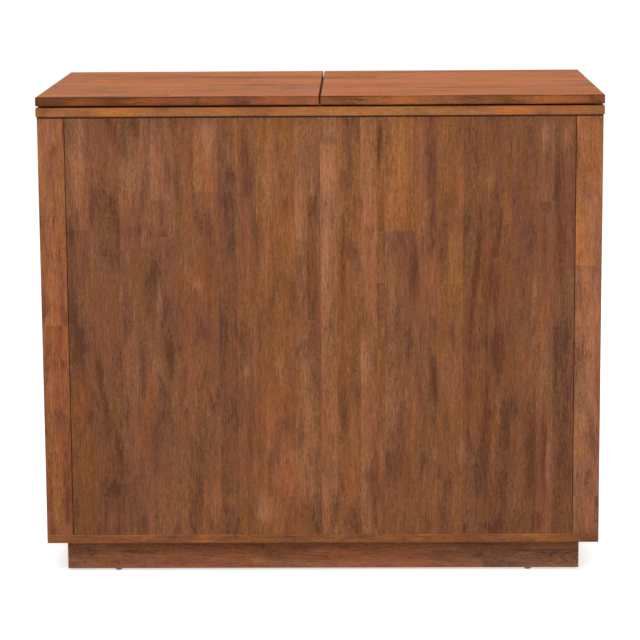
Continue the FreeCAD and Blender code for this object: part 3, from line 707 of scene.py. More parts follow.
PLINTH_WOOD = WoodFinish("acacia_plinth_walnut_stain_satin_lacquer",
                         tan=("#573322", "#885B44", "#AA7659"), orange=("#5D3219", "#955931", "#B77446"),
                         band_width=16 * MM, stave=80 * MM, segment=700 * MM, stave_shift=0.08)
# The same acacia, sanded and left bare inside the case: pale, dry and without sheen
BARE_WOOD = WoodFinish("acacia_bare_sanded", tan=("#9C7350", "#C39B70", "#D9B88E"),
                       orange=("#A07C52", "#C8A477", "#DEC097"), deep="#6E4E33", stave=52 * MM,
                       roughness=0.72, coat=0.0, sheen=0.15, relief=0.45)


# The guest side's panel: staves 15 to 65 mm wide, some joined end to end, with dark streaks of heartwood
PANEL_FIGURE = Figure(
    low=-455,
    high=455,
    staves=(
        (-455, Tone.DUSKY, Hue.PLAIN), (-410, Tone.DUSKY, Hue.TAN), (-358, Tone.PLAIN, Hue.TAN),
        (-305, Tone.PLAIN, Hue.TAN), (-257, Tone.PLAIN, Hue.PLAIN), (-228, Tone.PLAIN, Hue.PLAIN),
        (-182, Tone.DUSKY, Hue.TAN), (-150, Tone.PLAIN, Hue.PLAIN), (-114, Tone.PLAIN, Hue.WARM),
        (-48, Tone.PLAIN, Hue.PLAIN), (-2, Tone.BRIGHT, Hue.PLAIN), (28, Tone.PLAIN, Hue.WARM),
        (69, Tone.BRIGHT, Hue.PLAIN), (96, Tone.PLAIN, Hue.WARM), (112, Tone.PLAIN, Hue.PLAIN),
        (165, Tone.PLAIN, Hue.PLAIN), (206, Tone.PLAIN, Hue.WARM), (251, Tone.DUSKY, Hue.PLAIN),
        (290, Tone.DUSKY, Hue.PLAIN), (336, Tone.DUSKY, Hue.TAN), (382, Tone.PLAIN, Hue.TAN),
        (411, Tone.DUSKY, Hue.TAN),
    ),
    seams=(
        # The seams: dark glue, with painted shade under the fixed top along the top and in the gaps beside the
        # stiles
        Length(0, 832.5, 460, 2.0, Tone.SEAM),
        Length(-450.5, 462, 0.8, 390, Tone.SEAM),
        Length(450.5, 462, 0.8, 390, Tone.SEAM),
    ),
    marks=(
        *laid(Length, Tone.BRIGHT, Hue.TAN, (-433, 747, 23, 114)),
        *laid(Length, Tone.PLAIN, Hue.TAN, (-431, 500, 23, 133), (139, 502, 27, 127), (234, 139, 50, 111)),
        *laid(Length, Tone.PLAIN, Hue.WARM, (-428, 198, 25, 170)),
        *laid(Length, Tone.BRIGHT, Hue.PLAIN, (-202, 780, 22, 81), (-280, 773, 19, 88), (-163, 799, 17, 63)),
        *laid(Length, Tone.BRIGHT, Hue.ORANGE, (139, 745, 26, 116)),
        *laid(Length, Tone.LIGHT, Hue.WARM, (106, 582, 6, 46)),
        *laid(Length, Tone.DARK, Hue.PLAIN, (-15, 581, 9, 111)),
        *laid(Length, Tone.BRIGHT, Hue.WARM, (326, 668, 5, 29)),
        *laid(Streak, Tone.BRIGHT, Hue.PLAIN,
              # The first two, wide and soft in the panel's middle, are a painted highlight across it
              (-4, 711, 169, 195), (-7, 195, 160, 148), (-344, 748, 89, 89), (-426, 793, 23, 81),
              (-427, 731, 16, 78), (-393, 766, 12, 81), (-330, 736, 21, 50), (-267, 677, 12, 64),
              (-190, 677, 5, 75), (-193, 144, 25, 44), (113, 241, 21, 40), (446, 522, 16, 108),
              (-38, 442, 14, 36), (81, 657, 11, 178, 0.06), (-93, 578, 12, 90), (-38, 631, 12, 161),
              (126, 505, 11, 126), (257, 701, 11, 78), (392, 432, 7, 145), (-421, 325, 14, 62),
              (-93, 269, 14, 110), (219, 387, 12, 87), (174, 442, 12, 33), (376, 423, 14, 72)),
        *laid(Streak, Tone.DUSKY, Hue.TAN,
              (-243, 461, 89, 81), (-443, 507, 11, 79), (-420, 576, 11, 61), (-162, 641, 16, 100),
              (-177, 425, 12, 127), (-134, 774, 9, 53, -0.05), (371, 620, 12, 89), (397, 620, 7, 79),
              (-213, 270, 25, 48), (-282, 270, 53, 110), (-64, 269, 9, 66)),
        *laid(Streak, Tone.DARK, Hue.WARM,
              (-366, 810, 12, 49, -0.2), (-61, 674, 12, 21), (40, 574, 9, 118), (-31, 114, 25, 45),
              (375, 222, 16, 129)),
        *laid(Streak, Tone.DARK, Hue.PLAIN,
              (-339, 821, 27, 32), (-323, 817, 9, 39), (-368, 677, 7, 46, 0.05), (-305, 534, 16, 112),
              (-435, 420, 16, 58), (-260, 820, 11, 23), (-130, 747, 18, 103, -0.08),
              (-114, 623, 12, 71, -0.06), (399, 194, 9, 114), (194, 755, 14, 138), (226, 680, 16, 30),
              (267, 459, 9, 47, 0.05), (311, 522, 9, 72), (299, 531, 11, 101, 0.08), (423, 722, 16, 60),
              (-385, 285, 11, 62, -0.05), (-368, 248, 9, 66, -0.12), (-374, 163, 14, 26),
              (-364, 347, 9, 9), (-285, 292, 7, 7), (-127, 279, 11, 114), (-139, 443, 16, 33),
              (95, 180, 11, 103), (303, 295, 5, 11), (397, 249, 11, 110), (227, 165, 16, 26),
              (196, 97, 16, 24), (299, 91, 16, 19), (387, 98, 18, 28)),
        *laid(Streak, Tone.DUSKY, Hue.PLAIN,
              (-377, 677, 23, 61), (-294, 570, 7, 72), (-320, 624, 5, 43), (-444, 612, 7, 29),
              (-239, 792, 11, 60), (-203, 575, 21, 65), (78, 460, 18, 54), (330, 594, 11, 54),
              (144, 269, 9, 73), (-73, 821, 21, 19), (424, 602, 16, 89), (438, 231, 14, 110),
              (-365, 160, 61, 111), (40, 309, 14, 168), (335, 314, 11, 40), (431, 194, 16, 92),
              # The last, a soft dark band across the panel's top, is painted shade under the fixed top
              (0, 829, 1000, 7)),
        *laid(Streak, Tone.BRIGHT, Hue.WARM,
              (-352, 615, 16, 93), (235, 567, 11, 90), (199, 532, 7, 72), (-257, 332, 36, 29),
              (27, 287, 7, 73), (171, 314, 9, 66), (309, 246, 7, 51)),
        *laid(Streak, Tone.LIGHT, Hue.PLAIN,
              (-285, 507, 7, 40), (-356, 521, 5, 32), (-220, 535, 16, 13), (137, 494, 9, 16),
              (301, 715, 11, 25), (380, 518, 9, 50), (438, 803, 11, 35), (-328, 389, 7, 58),
              (126, 418, 14, 7), (253, 235, 14, 44), (205, 228, 7, 20)),
        *laid(Streak, Tone.BRIGHT, Hue.TAN,
              (-197, 792, 16, 53), (-400, 588, 18, 72), (-95, 712, 18, 124), (11, 729, 14, 89),
              (10, 568, 12, 161), (63, 550, 11, 108, -0.02), (-28, 351, 14, 109), (342, 148, 25, 63)),
        *laid(Streak, Tone.PLAIN, Hue.DULL, (-249, 593, 28, 65), (221, 351, 53, 73), (185, 532, 32, 54)),
        *laid(Streak, Tone.PLAIN, Hue.TAN,
              (-347, 593, 14, 50), (-125, 641, 25, 50), (-64, 452, 25, 43), (33, 400, 21, 44),
              (-432, 534, 21, 72), (-114, 352, 36, 55), (51, 773, 12, 81)),
        *laid(Streak, Tone.PLAIN, Hue.WARM,
              (144, 758, 14, 60), (-50, 658, 21, 143), (81, 634, 32, 29), (-64, 269, 28, 84)),
        *laid(Streak, Tone.PLAIN, Hue.ORANGE, (-430, 325, 18, 66), (-308, 298, 25, 92)),
        *laid(Streak, Tone.DUSKY, Hue.WARM, (-58, 506, 14, 90), (6, 265, 16, 95), (149, 195, 16, 63)),
        *laid(Streak, Tone.VERY_DARK, Hue.ORANGE, (106, 781, 7, 60)),
        *laid(Streak, Tone.DUSKY, Hue.ORANGE, (107, 691, 12, 60)),
        *laid(Streak, Tone.BRIGHT, Hue.ORANGE, (146, 746, 16, 124)),
        *laid(Streak, Tone.VERY_DARK, Hue.TAN, (166, 555, 12, 86)),
        *laid(Streak, Tone.DARK, Hue.TAN,
              (155, 424, 9, 54), (-222, 150, 11, 78), (23, 125, 12, 41), (293, 250, 12, 147)),
        *laid(Streak, Tone.VERY_DARK, Hue.PLAIN,
              (277, 567, 7, 129, 0.1), (-393, 358, 11, 80, -0.14), (-268, 407, 14, 62),
              (199, 371, 9, 76, -0.14), (313, 414, 20, 62, -0.04)),
        *laid(Streak, Tone.VERY_DARK, Hue.WARM, (316, 630, 7, 68, 0.12), (19, 95, 9, 7)),
        *laid(Streak, Tone.LIGHT, Hue.TAN,
              (399, 799, 18, 25), (74, 397, 14, 76), (124, 296, 20, 110), (-107, 122, 21, 59),
              (-52, 223, 14, 6)),
        *laid(Streak, Tone.LIGHT, Hue.WARM,
              (-194, 336, 11, 22), (-163, 126, 23, 48), (-77, 388, 9, 16), (-138, 381, 14, 15),
              (316, 319, 7, 47, -0.03)),
    ),
)
# The stiles beside it: lighter, each joined from shorter lengths
LEFT_STILE_FIGURE = Figure(
    # Its seam under the fixed top: dark glue with painted shade
    seams=(Length(-475, 832.5, 30, 2.0, Tone.SEAM),),
    marks=(
        *laid(Streak, Tone.BRIGHT, Hue.PLAIN, (-475, 740, 60, 130), (-482, 160, 11, 89, -0.02)),
        *laid(Streak, Tone.DUSKY, Hue.PLAIN, (-475, 190, 60, 190), (-466, 444, 11, 33)),
        *laid(Streak, Tone.BRIGHT, Hue.DULL, (-472, 802, 9, 32), (-486, 353, 11, 29)),
        *laid(Streak, Tone.DARK, Hue.PLAIN, (-472, 772, 11, 18), (-475, 585, 14, 5)),
        *laid(Streak, Tone.BRIGHT, Hue.ORANGE, (-457, 811, 7, 28), (-463, 712, 9, 16)),
        *laid(Streak, Tone.DUSKY, Hue.TAN, (-482, 730, 9, 36), (-477, 280, 13, 33)),
        *laid(Streak, Tone.BRIGHT, Hue.WARM, (-472, 660, 21, 61)),
        *laid(Streak, Tone.LIGHT, Hue.PLAIN, (-473, 596, 9, 5), (-477, 239, 7, 7)),
        *laid(Streak, Tone.PLAIN, Hue.WARM, (-479, 507, 16, 108)),
        *laid(Streak, Tone.DARK, Hue.TAN,
              (-460, 489, 5, 72, -0.03), (-479, 228, 11, 6), (-459, 156, 11, 85, -0.02)),
        *laid(Streak, Tone.VERY_DARK, Hue.TAN, (-460, 390, 11, 13)),
    ),
)
# On the right one the joints show at the height of a hand and of a knee
RIGHT_STILE_FIGURE = Figure(
    # Its seam under the fixed top: dark glue with painted shade
    seams=(Length(475, 832.5, 30, 2.0, Tone.SEAM),),
    marks=(
        *laid(Length, Tone.PLAIN, Hue.TAN, (474, 175, 24, 38)),
        *laid(Streak, Tone.DUSKY, Hue.PLAIN, (475, 780, 60, 80), (470, 255, 20, 9)),
        *laid(Streak, Tone.BRIGHT, Hue.PLAIN, (475, 510, 60, 250), (478, 476, 12, 22), (473, 286, 16, 33)),
        *laid(Streak, Tone.DARK, Hue.DULL, (490, 828, 22, 9)),
        *laid(Streak, Tone.BRIGHT, Hue.TAN, (471, 792, 18, 39)),
        *laid(Streak, Tone.DUSKY, Hue.WARM, (472, 739, 25, 18)),
        *laid(Streak, Tone.DARK, Hue.PLAIN, (488, 721, 7, 7), (468, 404, 21, 9), (481, 185, 11, 6)),
        *laid(Streak, Tone.PLAIN, Hue.TAN, (476, 700, 18, 21), (472, 355, 21, 40)),
        *laid(Streak, Tone.BRIGHT, Hue.ORANGE, (459, 633, 12, 53), (470, 548, 14, 43), (470, 227, 14, 22)),
        *laid(Streak, Tone.BRIGHT, Hue.DULL, (482, 625, 7, 39)),
        *laid(Streak, Tone.LIGHT, Hue.ORANGE, (457, 459, 9, 43)),
        *laid(Streak, Tone.DUSKY, Hue.TAN, (471, 172, 23, 33)),
        *laid(Streak, Tone.PLAIN, Hue.WARM, (475, 111, 14, 26)),
    ),
)
# The plinth rail: a knot left of the middle, flat-sawn arcs at the right, painted shade along its top under the
# bottom board and painted light from the floor along its foot
PLINTH_FIGURE = Figure(
    marks=(
        *laid(Streak, Tone.DARK, Hue.PLAIN,
              # The first dark mark, a long band along the top, is painted shade under the bottom board
              (62, 0, 26, 3000), (39, -427, 4, 5), (26, -76, 8, 7), (24, 0, 6, 7)),
        # A long light band along the foot: painted light from the floor
        *laid(Streak, Tone.BRIGHT, Hue.PLAIN, (4, 0, 24, 3000)),
        *laid(Flame, Tone.DARK, Hue.TAN, (23, 486, 30, 112)),
        *laid(Streak, Tone.DUSKY, Hue.PLAIN, (33, -436, 15, 44), (29, 326, 9, 44)),
        *laid(Streak, Tone.DUSKY, Hue.TAN, (36, -316, 8, 95), (25, 283, 6, 36)),
        *laid(Streak, Tone.LIGHT, Hue.WARM, (19, -111, 8, 29)),
        *laid(Streak, Tone.DARK, Hue.TAN, (39, -42, 9, 33), (40, 359, 8, 25)),
        *laid(Streak, Tone.BRIGHT, Hue.WARM, (28, 104, 8, 91)),
        *laid(Streak, Tone.BRIGHT, Hue.DULL, (13, 68, 4, 73)),
    ),
)
# The front edges of the bottom board and of the fixed top
BOTTOM_FIGURE = Figure(
    marks=(
        *laid(Streak, Tone.DUSKY, Hue.TAN, (-285, -430, 12, 54)),
        *laid(Streak, Tone.LIGHT, Hue.ORANGE, (-285, -207, 12, 25), (-285, 371, 12, 72)),
        *laid(Streak, Tone.BRIGHT, Hue.WARM, (-285, -312, 12, 47)),
        *laid(Streak, Tone.DUSKY, Hue.PLAIN, (-285, -50, 12, 61), (-285, 266, 12, 36), (-285, 483, 12, 29)),
    ),
)
FIXED_TOP_FIGURE = Figure(
    marks=(
        *laid(Streak, Tone.DARK, Hue.TAN, (-285, -484, 9, 16)),
        *laid(Streak, Tone.BRIGHT, Hue.ORANGE, (-285, -368, 9, 53), (-285, 351, 9, 60)),
        *laid(Streak, Tone.DUSKY, Hue.PLAIN, (-285, -122, 9, 53)),
        *laid(Streak, Tone.DUSKY, Hue.TAN, (-285, 486, 9, 16)),
    ),
)
# The leaves: their tops and, at -285 mm, their front edges
LEFT_LEAF_FIGURE = Figure(
    marks=(
        *laid(Streak, Tone.VERY_DARK, Hue.PLAIN, (-285, -420, 12, 300)),
        *laid(Streak, Tone.DARK, Hue.TAN, (142, -332, 7, 81), (-285, -215, 9, 14), (-285, -145, 9, 32)),
        *laid(Streak, Tone.PLAIN, Hue.DULL, (-45, -465, 60, 56)),
        *laid(Streak, Tone.PLAIN, Hue.TAN, (-117, -38, 70, 73)),
        *laid(Streak, Tone.DUSKY, Hue.PLAIN, (48, -155, 8, 94), (-148, -218, 10, 109), (-285, -364, 9, 28)),
        *laid(Streak, Tone.DUSKY, Hue.DULL, (-285, -477, 9, 35)),
        *laid(Streak, Tone.BRIGHT, Hue.ORANGE, (-285, -421, 9, 32), (-285, -298, 9, 42), (-285, -73, 9, 46)),
        *laid(Streak, Tone.LIGHT, Hue.WARM, (-285, -11, 9, 12)),
    ),
)
RIGHT_LEAF_FIGURE = Figure(
    marks=(
        *laid(Length, Tone.PLAIN, Hue.WARM, (0, 250, 286, 260)),
        *laid(Streak, Tone.BRIGHT, Hue.PLAIN, (-285, 280, 12, 330)),
        *laid(Streak, Tone.DUSKY, Hue.PLAIN, (107, 14, 8, 27), (-85, 144, 9, 110), (38, 334, 8, 112)),
        *laid(Streak, Tone.PLAIN, Hue.TAN, (-147, 432, 60, 72)),
        *laid(Streak, Tone.BRIGHT, Hue.ORANGE, (-27, 275, 24, 111), (-285, 141, 9, 70), (-285, 400, 9, 28)),
        *laid(Streak, Tone.DUSKY, Hue.DULL, (-285, 15, 9, 18)),
        *laid(Streak, Tone.DARK, Hue.PLAIN, (-285, 46, 9, 28)),
        *laid(Streak, Tone.BRIGHT, Hue.WARM, (-285, 232, 9, 21)),
        *laid(Streak, Tone.DARK, Hue.WARM, (-285, 328, 9, 28)),
        *laid(Streak, Tone.DARK, Hue.TAN, (-285, 480, 9, 17)),
    ),
)


@dataclass(frozen=True)
class PartFinish:
    """The finish of a small bought-in part: a cloudy colour, and a fine grain that also breaks up the gloss.

    Args:
        name: the material's name.
        dark: its darker colour.
        light: its lighter colour.
        roughness: its mean roughness.
        grain: how wide the grain is drawn along x, y and z, in metres.
        swing: how far the grain changes the roughness.
        relief: the strength of its bump.
        cloud: how wide the clouds of colour are, in metres.
        cloud_detail: how many finer steps they have.
    """

    name: str
    dark: str
    light: str
    roughness: float
    grain: Point
    swing: float
    relief: float
    cloud: float
    cloud_detail: float

    def shine(self) -> dict[str, float]:
        """What its kind of material sets on the shader."""
        raise NotImplementedError

    def material(self) -> Material:
        """Makes the material once and reuses it.

        Returns:
            The material.
        """
        if self.name in bpy.data.materials:
            return bpy.data.materials[self.name]
        made = blank(self.name)
        tree = made.node_tree
        place = add(tree, "TexCoord", out="Object")
        scales = tuple(1 / size for size in self.grain)
        scaled = add(tree, "VectorMath", [place, scales], operation="MULTIPLY")
        grain = add(tree, "TexNoise", {"Vector": scaled, "Scale": 1.0, "Detail": 2.0})
        cloudy = add(tree, "TexNoise", {"Vector": place, "Scale": 1 / self.cloud,
                                        "Detail": self.cloud_detail})
        stops = [(NOISE_LOW, linear(self.dark)), (NOISE_HIGH, linear(self.light))]
        colour = add(tree, "ValToRGB", [cloudy], stops=stops)
        rough = add(tree, "Math", [grain, self.swing, self.roughness - self.swing / 2],
                    operation="MULTIPLY_ADD")
        normal = add(tree, "Bump", {"Strength": self.relief, "Distance": 0.05 * MM, "Height": grain})
        shader = add(tree, "BsdfPrincipled", {"Base Color": colour, "Roughness": rough, "Normal": normal,
                                              **self.shine()})
        add(tree, "OutputMaterial", [shader], out=None)
        return made


@dataclass(frozen=True)
class MetalFinish(PartFinish):
    """A metal part as it comes from the press or the plating bath.

    The grain is that of a satin brushing, 0.05 to 0.1 mm in the real part, drawn 0.5 mm wide to show.
    """

    grain: Point = (0.5 * MM, 10 * MM, 0.5 * MM)
    swing: float = 0.2
    relief: float = 0.2
    cloud: float = 6 * MM
    cloud_detail: float = 3.0

    def shine(self) -> dict[str, float]:
        """Metal all through, with the default IOR."""
        return {"Metallic": 1.0}


@dataclass(frozen=True)
class MouldedFinish(PartFinish):
    """A moulded plastic or rubber part.

    The grain is that of a spark-eroded mould, about 0.1 mm, drawn 0.6 mm wide to show.
    """

    grain: Point = (0.6 * MM, 0.6 * MM, 0.6 * MM)
    swing: float = 0.15
    relief: float = 0.25
    cloud: float = 5 * MM
    cloud_detail: float = 2.0

    def shine(self) -> dict[str, float]:
        """The IOR of common plastics."""
        return {"IOR": 1.5}


# Brass, rolled and brushed satin, lacquered: warm yellow with a soft streaked shine
BRASS = MetalFinish("brass_brushed_satin", "#96713A", "#BF9850", 0.36)
# Steel, zinc plated: pale grey, slightly blotched
ZINC_STEEL = MetalFinish("steel_zinc_plated", "#9C9D9C", "#C6C7C6", 0.3)
# Steel at the bottom of a driving recess, with the recess's shade painted on: dull dark grey
SCREW_RECESS = MetalFinish("steel_recess_shaded", "#2A2826", "#3A3734", 0.6)
# Nylon glides, moulded: grey, matt
GLIDE_NYLON = MouldedFinish("nylon_moulded_grey", "#6E6A68", "#8B8785", 0.505)
# Rubber buttons, moulded: near black, dull
BUMPER_RUBBER = MouldedFinish("rubber_moulded_black", "#211F1F", "#302D2C", 0.755)
# ABS catch cases, moulded: dark brown, low sheen
CATCH_ABS = MouldedFinish("abs_moulded_brown", "#33211A", "#472F25", 0.455)

CASE = "cabinet"
UP, DOWN, TO_GUESTS = Vector((0, 0, 1)), Vector((0, 0, -1)), Vector((0, -1, 0))
# Moves a box's corner past the board, so that the arrises on that side stay plain
PAST = Vector((0, 0, 20 * MM))


def dress(node: str, material: Material, round_over: float = 0.0) -> None:
    """Gives a CAD node its material and, where its edges are sharp, a small round over.

    Args:
        node: the node's name.
        material: its finish.
        round_over: the width of the rounded edge, or 0 for none.
    """
    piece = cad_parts[node]
    for place in piece.material_slots:
        place.material = material
    if round_over:
        weld = piece.modifiers.new("joined_corners", "WELD")
        weld.merge_threshold = 0.01 * MM
        bevel = piece.modifiers.new("sanded_edges", "BEVEL")
        bevel.width = round_over
        bevel.segments = 2
        bevel.limit_method = "ANGLE"
        bevel.angle_limit = math.radians(30)
    LOG.info("dressed %s with %s", node, material.name)


def new_piece(name: str, mesh: Mesh, materials: Sequence[Material], body: str) -> Piece:
    """Turns a finished mesh into a piece that rides on a CAD body.

    Args:
        name: the piece's name.
        mesh: its mesh, which is freed here.
        materials: its materials, in the order of its faces' material numbers.
        body: the CAD body that it moves with.
    Returns:
        The piece.
    """
    data = bpy.data.meshes.new(name)
    mesh.to_mesh(data)
    mesh.free()
    for material in materials:
        data.materials.append(material)
    piece = bpy.data.objects.new(name, data)
    bpy.context.scene.collection.objects.link(piece)
    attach(piece, body)
    LOG.info("built %s on %s", name, body)
    return piece


def closed(mesh: Mesh, row: list) -> list:
    """Finds or makes the edges round a closed row of vertices.

    Args:
        mesh: the mesh.
        row: its vertices in order.
    Returns:
        The edges.
    """
    pairs = [(row[at - 1], row[at]) for at in range(len(row))]
    return [mesh.edges.get(pair) or mesh.edges.new(pair) for pair in pairs]


def in_row(middle: Vector, step: Vector, facing: Vector, turns: Sequence[int] = (-1, 1)) -> list[Place]:
    """Sets places for screws in a row.

    Args:
        middle: the middle of the row.
        step: the step from one place to the next.
        facing: the way that the surface faces.
        turns: how many steps from the middle each place is.
    Returns:
        The places, each with the way its surface faces.
    """
    return [(middle + turn * step, facing) for turn in turns]


@dataclass(frozen=True)
class ScrewHead:
    """The head of a wood screw with a cross recess, as it shows on the surface that it is driven into.

    The flat top, and the length and width of the cross, are given as shares of the diameter, the floor of the
    recess as a share of the rise and of the recess's mouth. The turns are in radians, the first for the first
    head of a group and the next for each one after it.
    """

    diameter: float
    rise: float
    sides: int = 24
    rim_share: float = 0.86
    arm_share: float = 0.62
    width_share: float = 0.15
    floor_share: float = 0.15
    taper: float = 0.8
    first_turn: float = 0.35
    next_turn: float = 0.7

    def _recess_outline(self) -> list[tuple[float, float]]:
        """Draws the outline of the driving recess round the middle.

        Returns:
            Its corners in order.
        """
        arm = self.arm_share * self.diameter / 2
        width = self.width_share * self.diameter / 2
        outline = []
        for quarter in range(4):
            cos, sin = math.cos(quarter * math.pi / 2), math.sin(quarter * math.pi / 2)
            for x, y in ((arm, -width), (arm, width), (width, width)):
                outline.append((x * cos - y * sin, x * sin + y * cos))
        return outline

    def place(self, mesh: Mesh, foot: Vector, facing: Vector, spin: float) -> None:
        """Builds one head into a mesh.

        Args:
            mesh: the mesh of the whole group.
            foot: the middle of the head on the surface.
            facing: the way that the surface faces.
            spin: how far the recess is turned, in radians.
        """
        seat = Matrix.Translation(foot) @ facing.to_track_quat("Z", "Y").to_matrix().to_4x4()
        seat = seat @ Matrix.Rotation(spin, 4, "Z")

        def ring(outline: Sequence[tuple[float, float]], scale: float, height: float) -> list:
            """A closed row of vertices at one height over the surface."""
            return [mesh.verts.new(seat @ Vector((scale * x, scale * y, height))) for x, y in outline]

        angles = [2 * math.pi * number / self.sides for number in range(self.sides)]
        circle = [(math.cos(angle), math.sin(angle)) for angle in angles]
        cross = self._recess_outline()
        foot_ring = ring(circle, self.diameter / 2, 0.0)
        top_ring = ring(circle, self.rim_share * self.diameter / 2, self.rise)
        mouth = ring(cross, 1.0, self.rise)
        floor = ring(cross, self.taper, self.floor_share * self.rise)
        # The recess's walls and floor take the second material, the painted shade
        for low, high, number in ((foot_ring, top_ring, 0), (floor, mouth, 1)):
            for at in range(len(low)):
                face = mesh.faces.new((low[at - 1], low[at], high[at], high[at - 1]))
                face.material_index = number
        rims = closed(mesh, top_ring) + closed(mesh, mouth)
        bmesh.ops.triangle_fill(mesh, edges=rims, use_beauty=True)
        mesh.faces.new(floor).material_index = 1

    def group(self, name: str, places: Sequence[Place], finish: MetalFinish, body: str) -> Piece:
        """Builds all heads of one group as one piece.

        Args:
            name: the piece's name.
            places: each head's middle on its surface, and the way that the surface faces.
            finish: the metal.
            body: the CAD body that they move with.
        Returns:
            The piece.
        """
        mesh = bmesh.new()
        for number, (foot, facing) in enumerate(places):
            self.place(mesh, foot, facing, self.first_turn + number * self.next_turn)
        bmesh.ops.recalc_face_normals(mesh, faces=mesh.faces)
        return new_piece(name, mesh, [finish.material(), SCREW_RECESS.material()], body)


HINGE_SCREW = ScrewHead(diameter=6.0 * MM, rise=0.22 * MM)
WOOD_SCREW = ScrewHead(diameter=7.0 * MM, rise=0.3 * MM)
PULL_SCREW = ScrewHead(diameter=8.0 * MM, rise=1.6 * MM)
CATCH_SCREW = ScrewHead(diameter=5.5 * MM, rise=0.12 * MM)


@dataclass
class Assembly:
    """One sub-assembly of the cabinet.

    Args:
        sanded_edge: how wide the sharp edges of its boards are sanded round.
    """

    sanded_edge: float = field(default=0.5 * MM, kw_only=True)

    def build(self) -> None:
        """Builds the screws that show, where it has any."""

    def dress(self) -> None:
        """Gives its nodes their finish."""
        raise NotImplementedError


@dataclass
class Carcass(Assembly):
    """The case: front panel and stiles, sides, bottom, inner boards and rear frame."""

    bearer_thickness: float = 14 * MM
    bearer_screw_inset: float = 40 * MM

    def build(self) -> None:
        """Builds the screws of the shelf bearers."""
        low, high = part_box("shelf_bearers")
        middle = (low + high) / 2
        outer = high.x - self.bearer_thickness
        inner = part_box("right_bay_divider")[1].x + self.bearer_thickness
        step = Vector((0, (high.y - low.y) / 2 - self.bearer_screw_inset, 0))
        places = []
        for side in Side:
            for x, way in ((outer, -1), (inner, 1)):
                spot = Vector((side.value * x, middle.y, middle.z))
                places += in_row(spot, step, Vector((side.value * way, 0, 0)), (-1, 0, 1))
        WOOD_SCREW.group("shelf_bearer_screws", places, ZINC_STEEL, CASE)

    def dress(self) -> None:
        """Gives every board of the case its finish."""
        dress("front_panel", PANEL_WOOD.material(Grain.UPRIGHT_WIDE_X, PANEL_FIGURE, mark="guest_side"))
        for side, figure in ((Side.LEFT, LEFT_STILE_FIGURE), (Side.RIGHT, RIGHT_STILE_FIGURE)):
            front = FRAME_WOOD.material(Grain.UPRIGHT_WIDE_X, figure, mark=side.word)
            dress(f"{side.word}_front_stile", front)
            dress(f"{side.word}_rear_stile", FRAME_WOOD.material(Grain.UPRIGHT_WIDE_X))
            for board in ("side_panel", "bay_divider"):
                dress(f"{side.word}_{board}", FRAME_WOOD.material(Grain.UPRIGHT_WIDE_Y), self.sanded_edge)
        low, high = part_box("bottom_board")
        # Its top arrises are lightened: a painted highlight where the eased edges catch light
        painted_light_arrises = Edges(low - PAST, high, Tone.LIGHT)
        bottom = BOTTOM_WOOD.material(Grain.LEVEL_X_WIDE_Y, BOTTOM_FIGURE, painted_light_arrises)
        dress("bottom_board", bottom, self.sanded_edge)
        for node, wood, grain in (
            ("drawer_deck", FRAME_WOOD, Grain.LEVEL_X_WIDE_Y),
            ("rack_shelf", FRAME_WOOD, Grain.LEVEL_X_WIDE_Y),
            ("bay_shelves", FRAME_WOOD, Grain.LEVEL_X_WIDE_Y),
            ("rear_top_rail", FRAME_WOOD, Grain.LEVEL_X_WIDE_Z),
            ("drawer_divider", FRAME_WOOD, Grain.UPRIGHT_WIDE_Y),
            ("panel_cleats", BARE_WOOD, Grain.UPRIGHT_WIDE_X),
            ("shelf_bearers", BARE_WOOD, Grain.LEVEL_Y_WIDE_Z),
        ):
            dress(node, wood.material(grain), self.sanded_edge)


@dataclass
class Plinth(Assembly):
    """The recessed plinth and the glides under it."""

    sanded_edge: float = 0.4 * MM

    def dress(self) -> None:
        """Gives rails, corner blocks and glides their finish."""
        low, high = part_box("plinth_front_rail")
        # Its lower arrises are lightened: painted light from the floor
        painted_light_arrises = Edges(low, high + PAST, Tone.LIGHT)
        dress("plinth_front_rail", PLINTH_WOOD.material(Grain.LEVEL_X_WIDE_Z, PLINTH_FIGURE, painted_light_arrises, "front"))
        dress("plinth_back_rail", PLINTH_WOOD.material(Grain.LEVEL_X_WIDE_Z))
        dress("plinth_side_rails", PLINTH_WOOD.material(Grain.LEVEL_Y_WIDE_Z), self.sanded_edge)
        dress("plinth_corner_blocks", BARE_WOOD.material(Grain.LEVEL_X_WIDE_Z), self.sanded_edge)
        dress("foot_glides", GLIDE_NYLON.material())


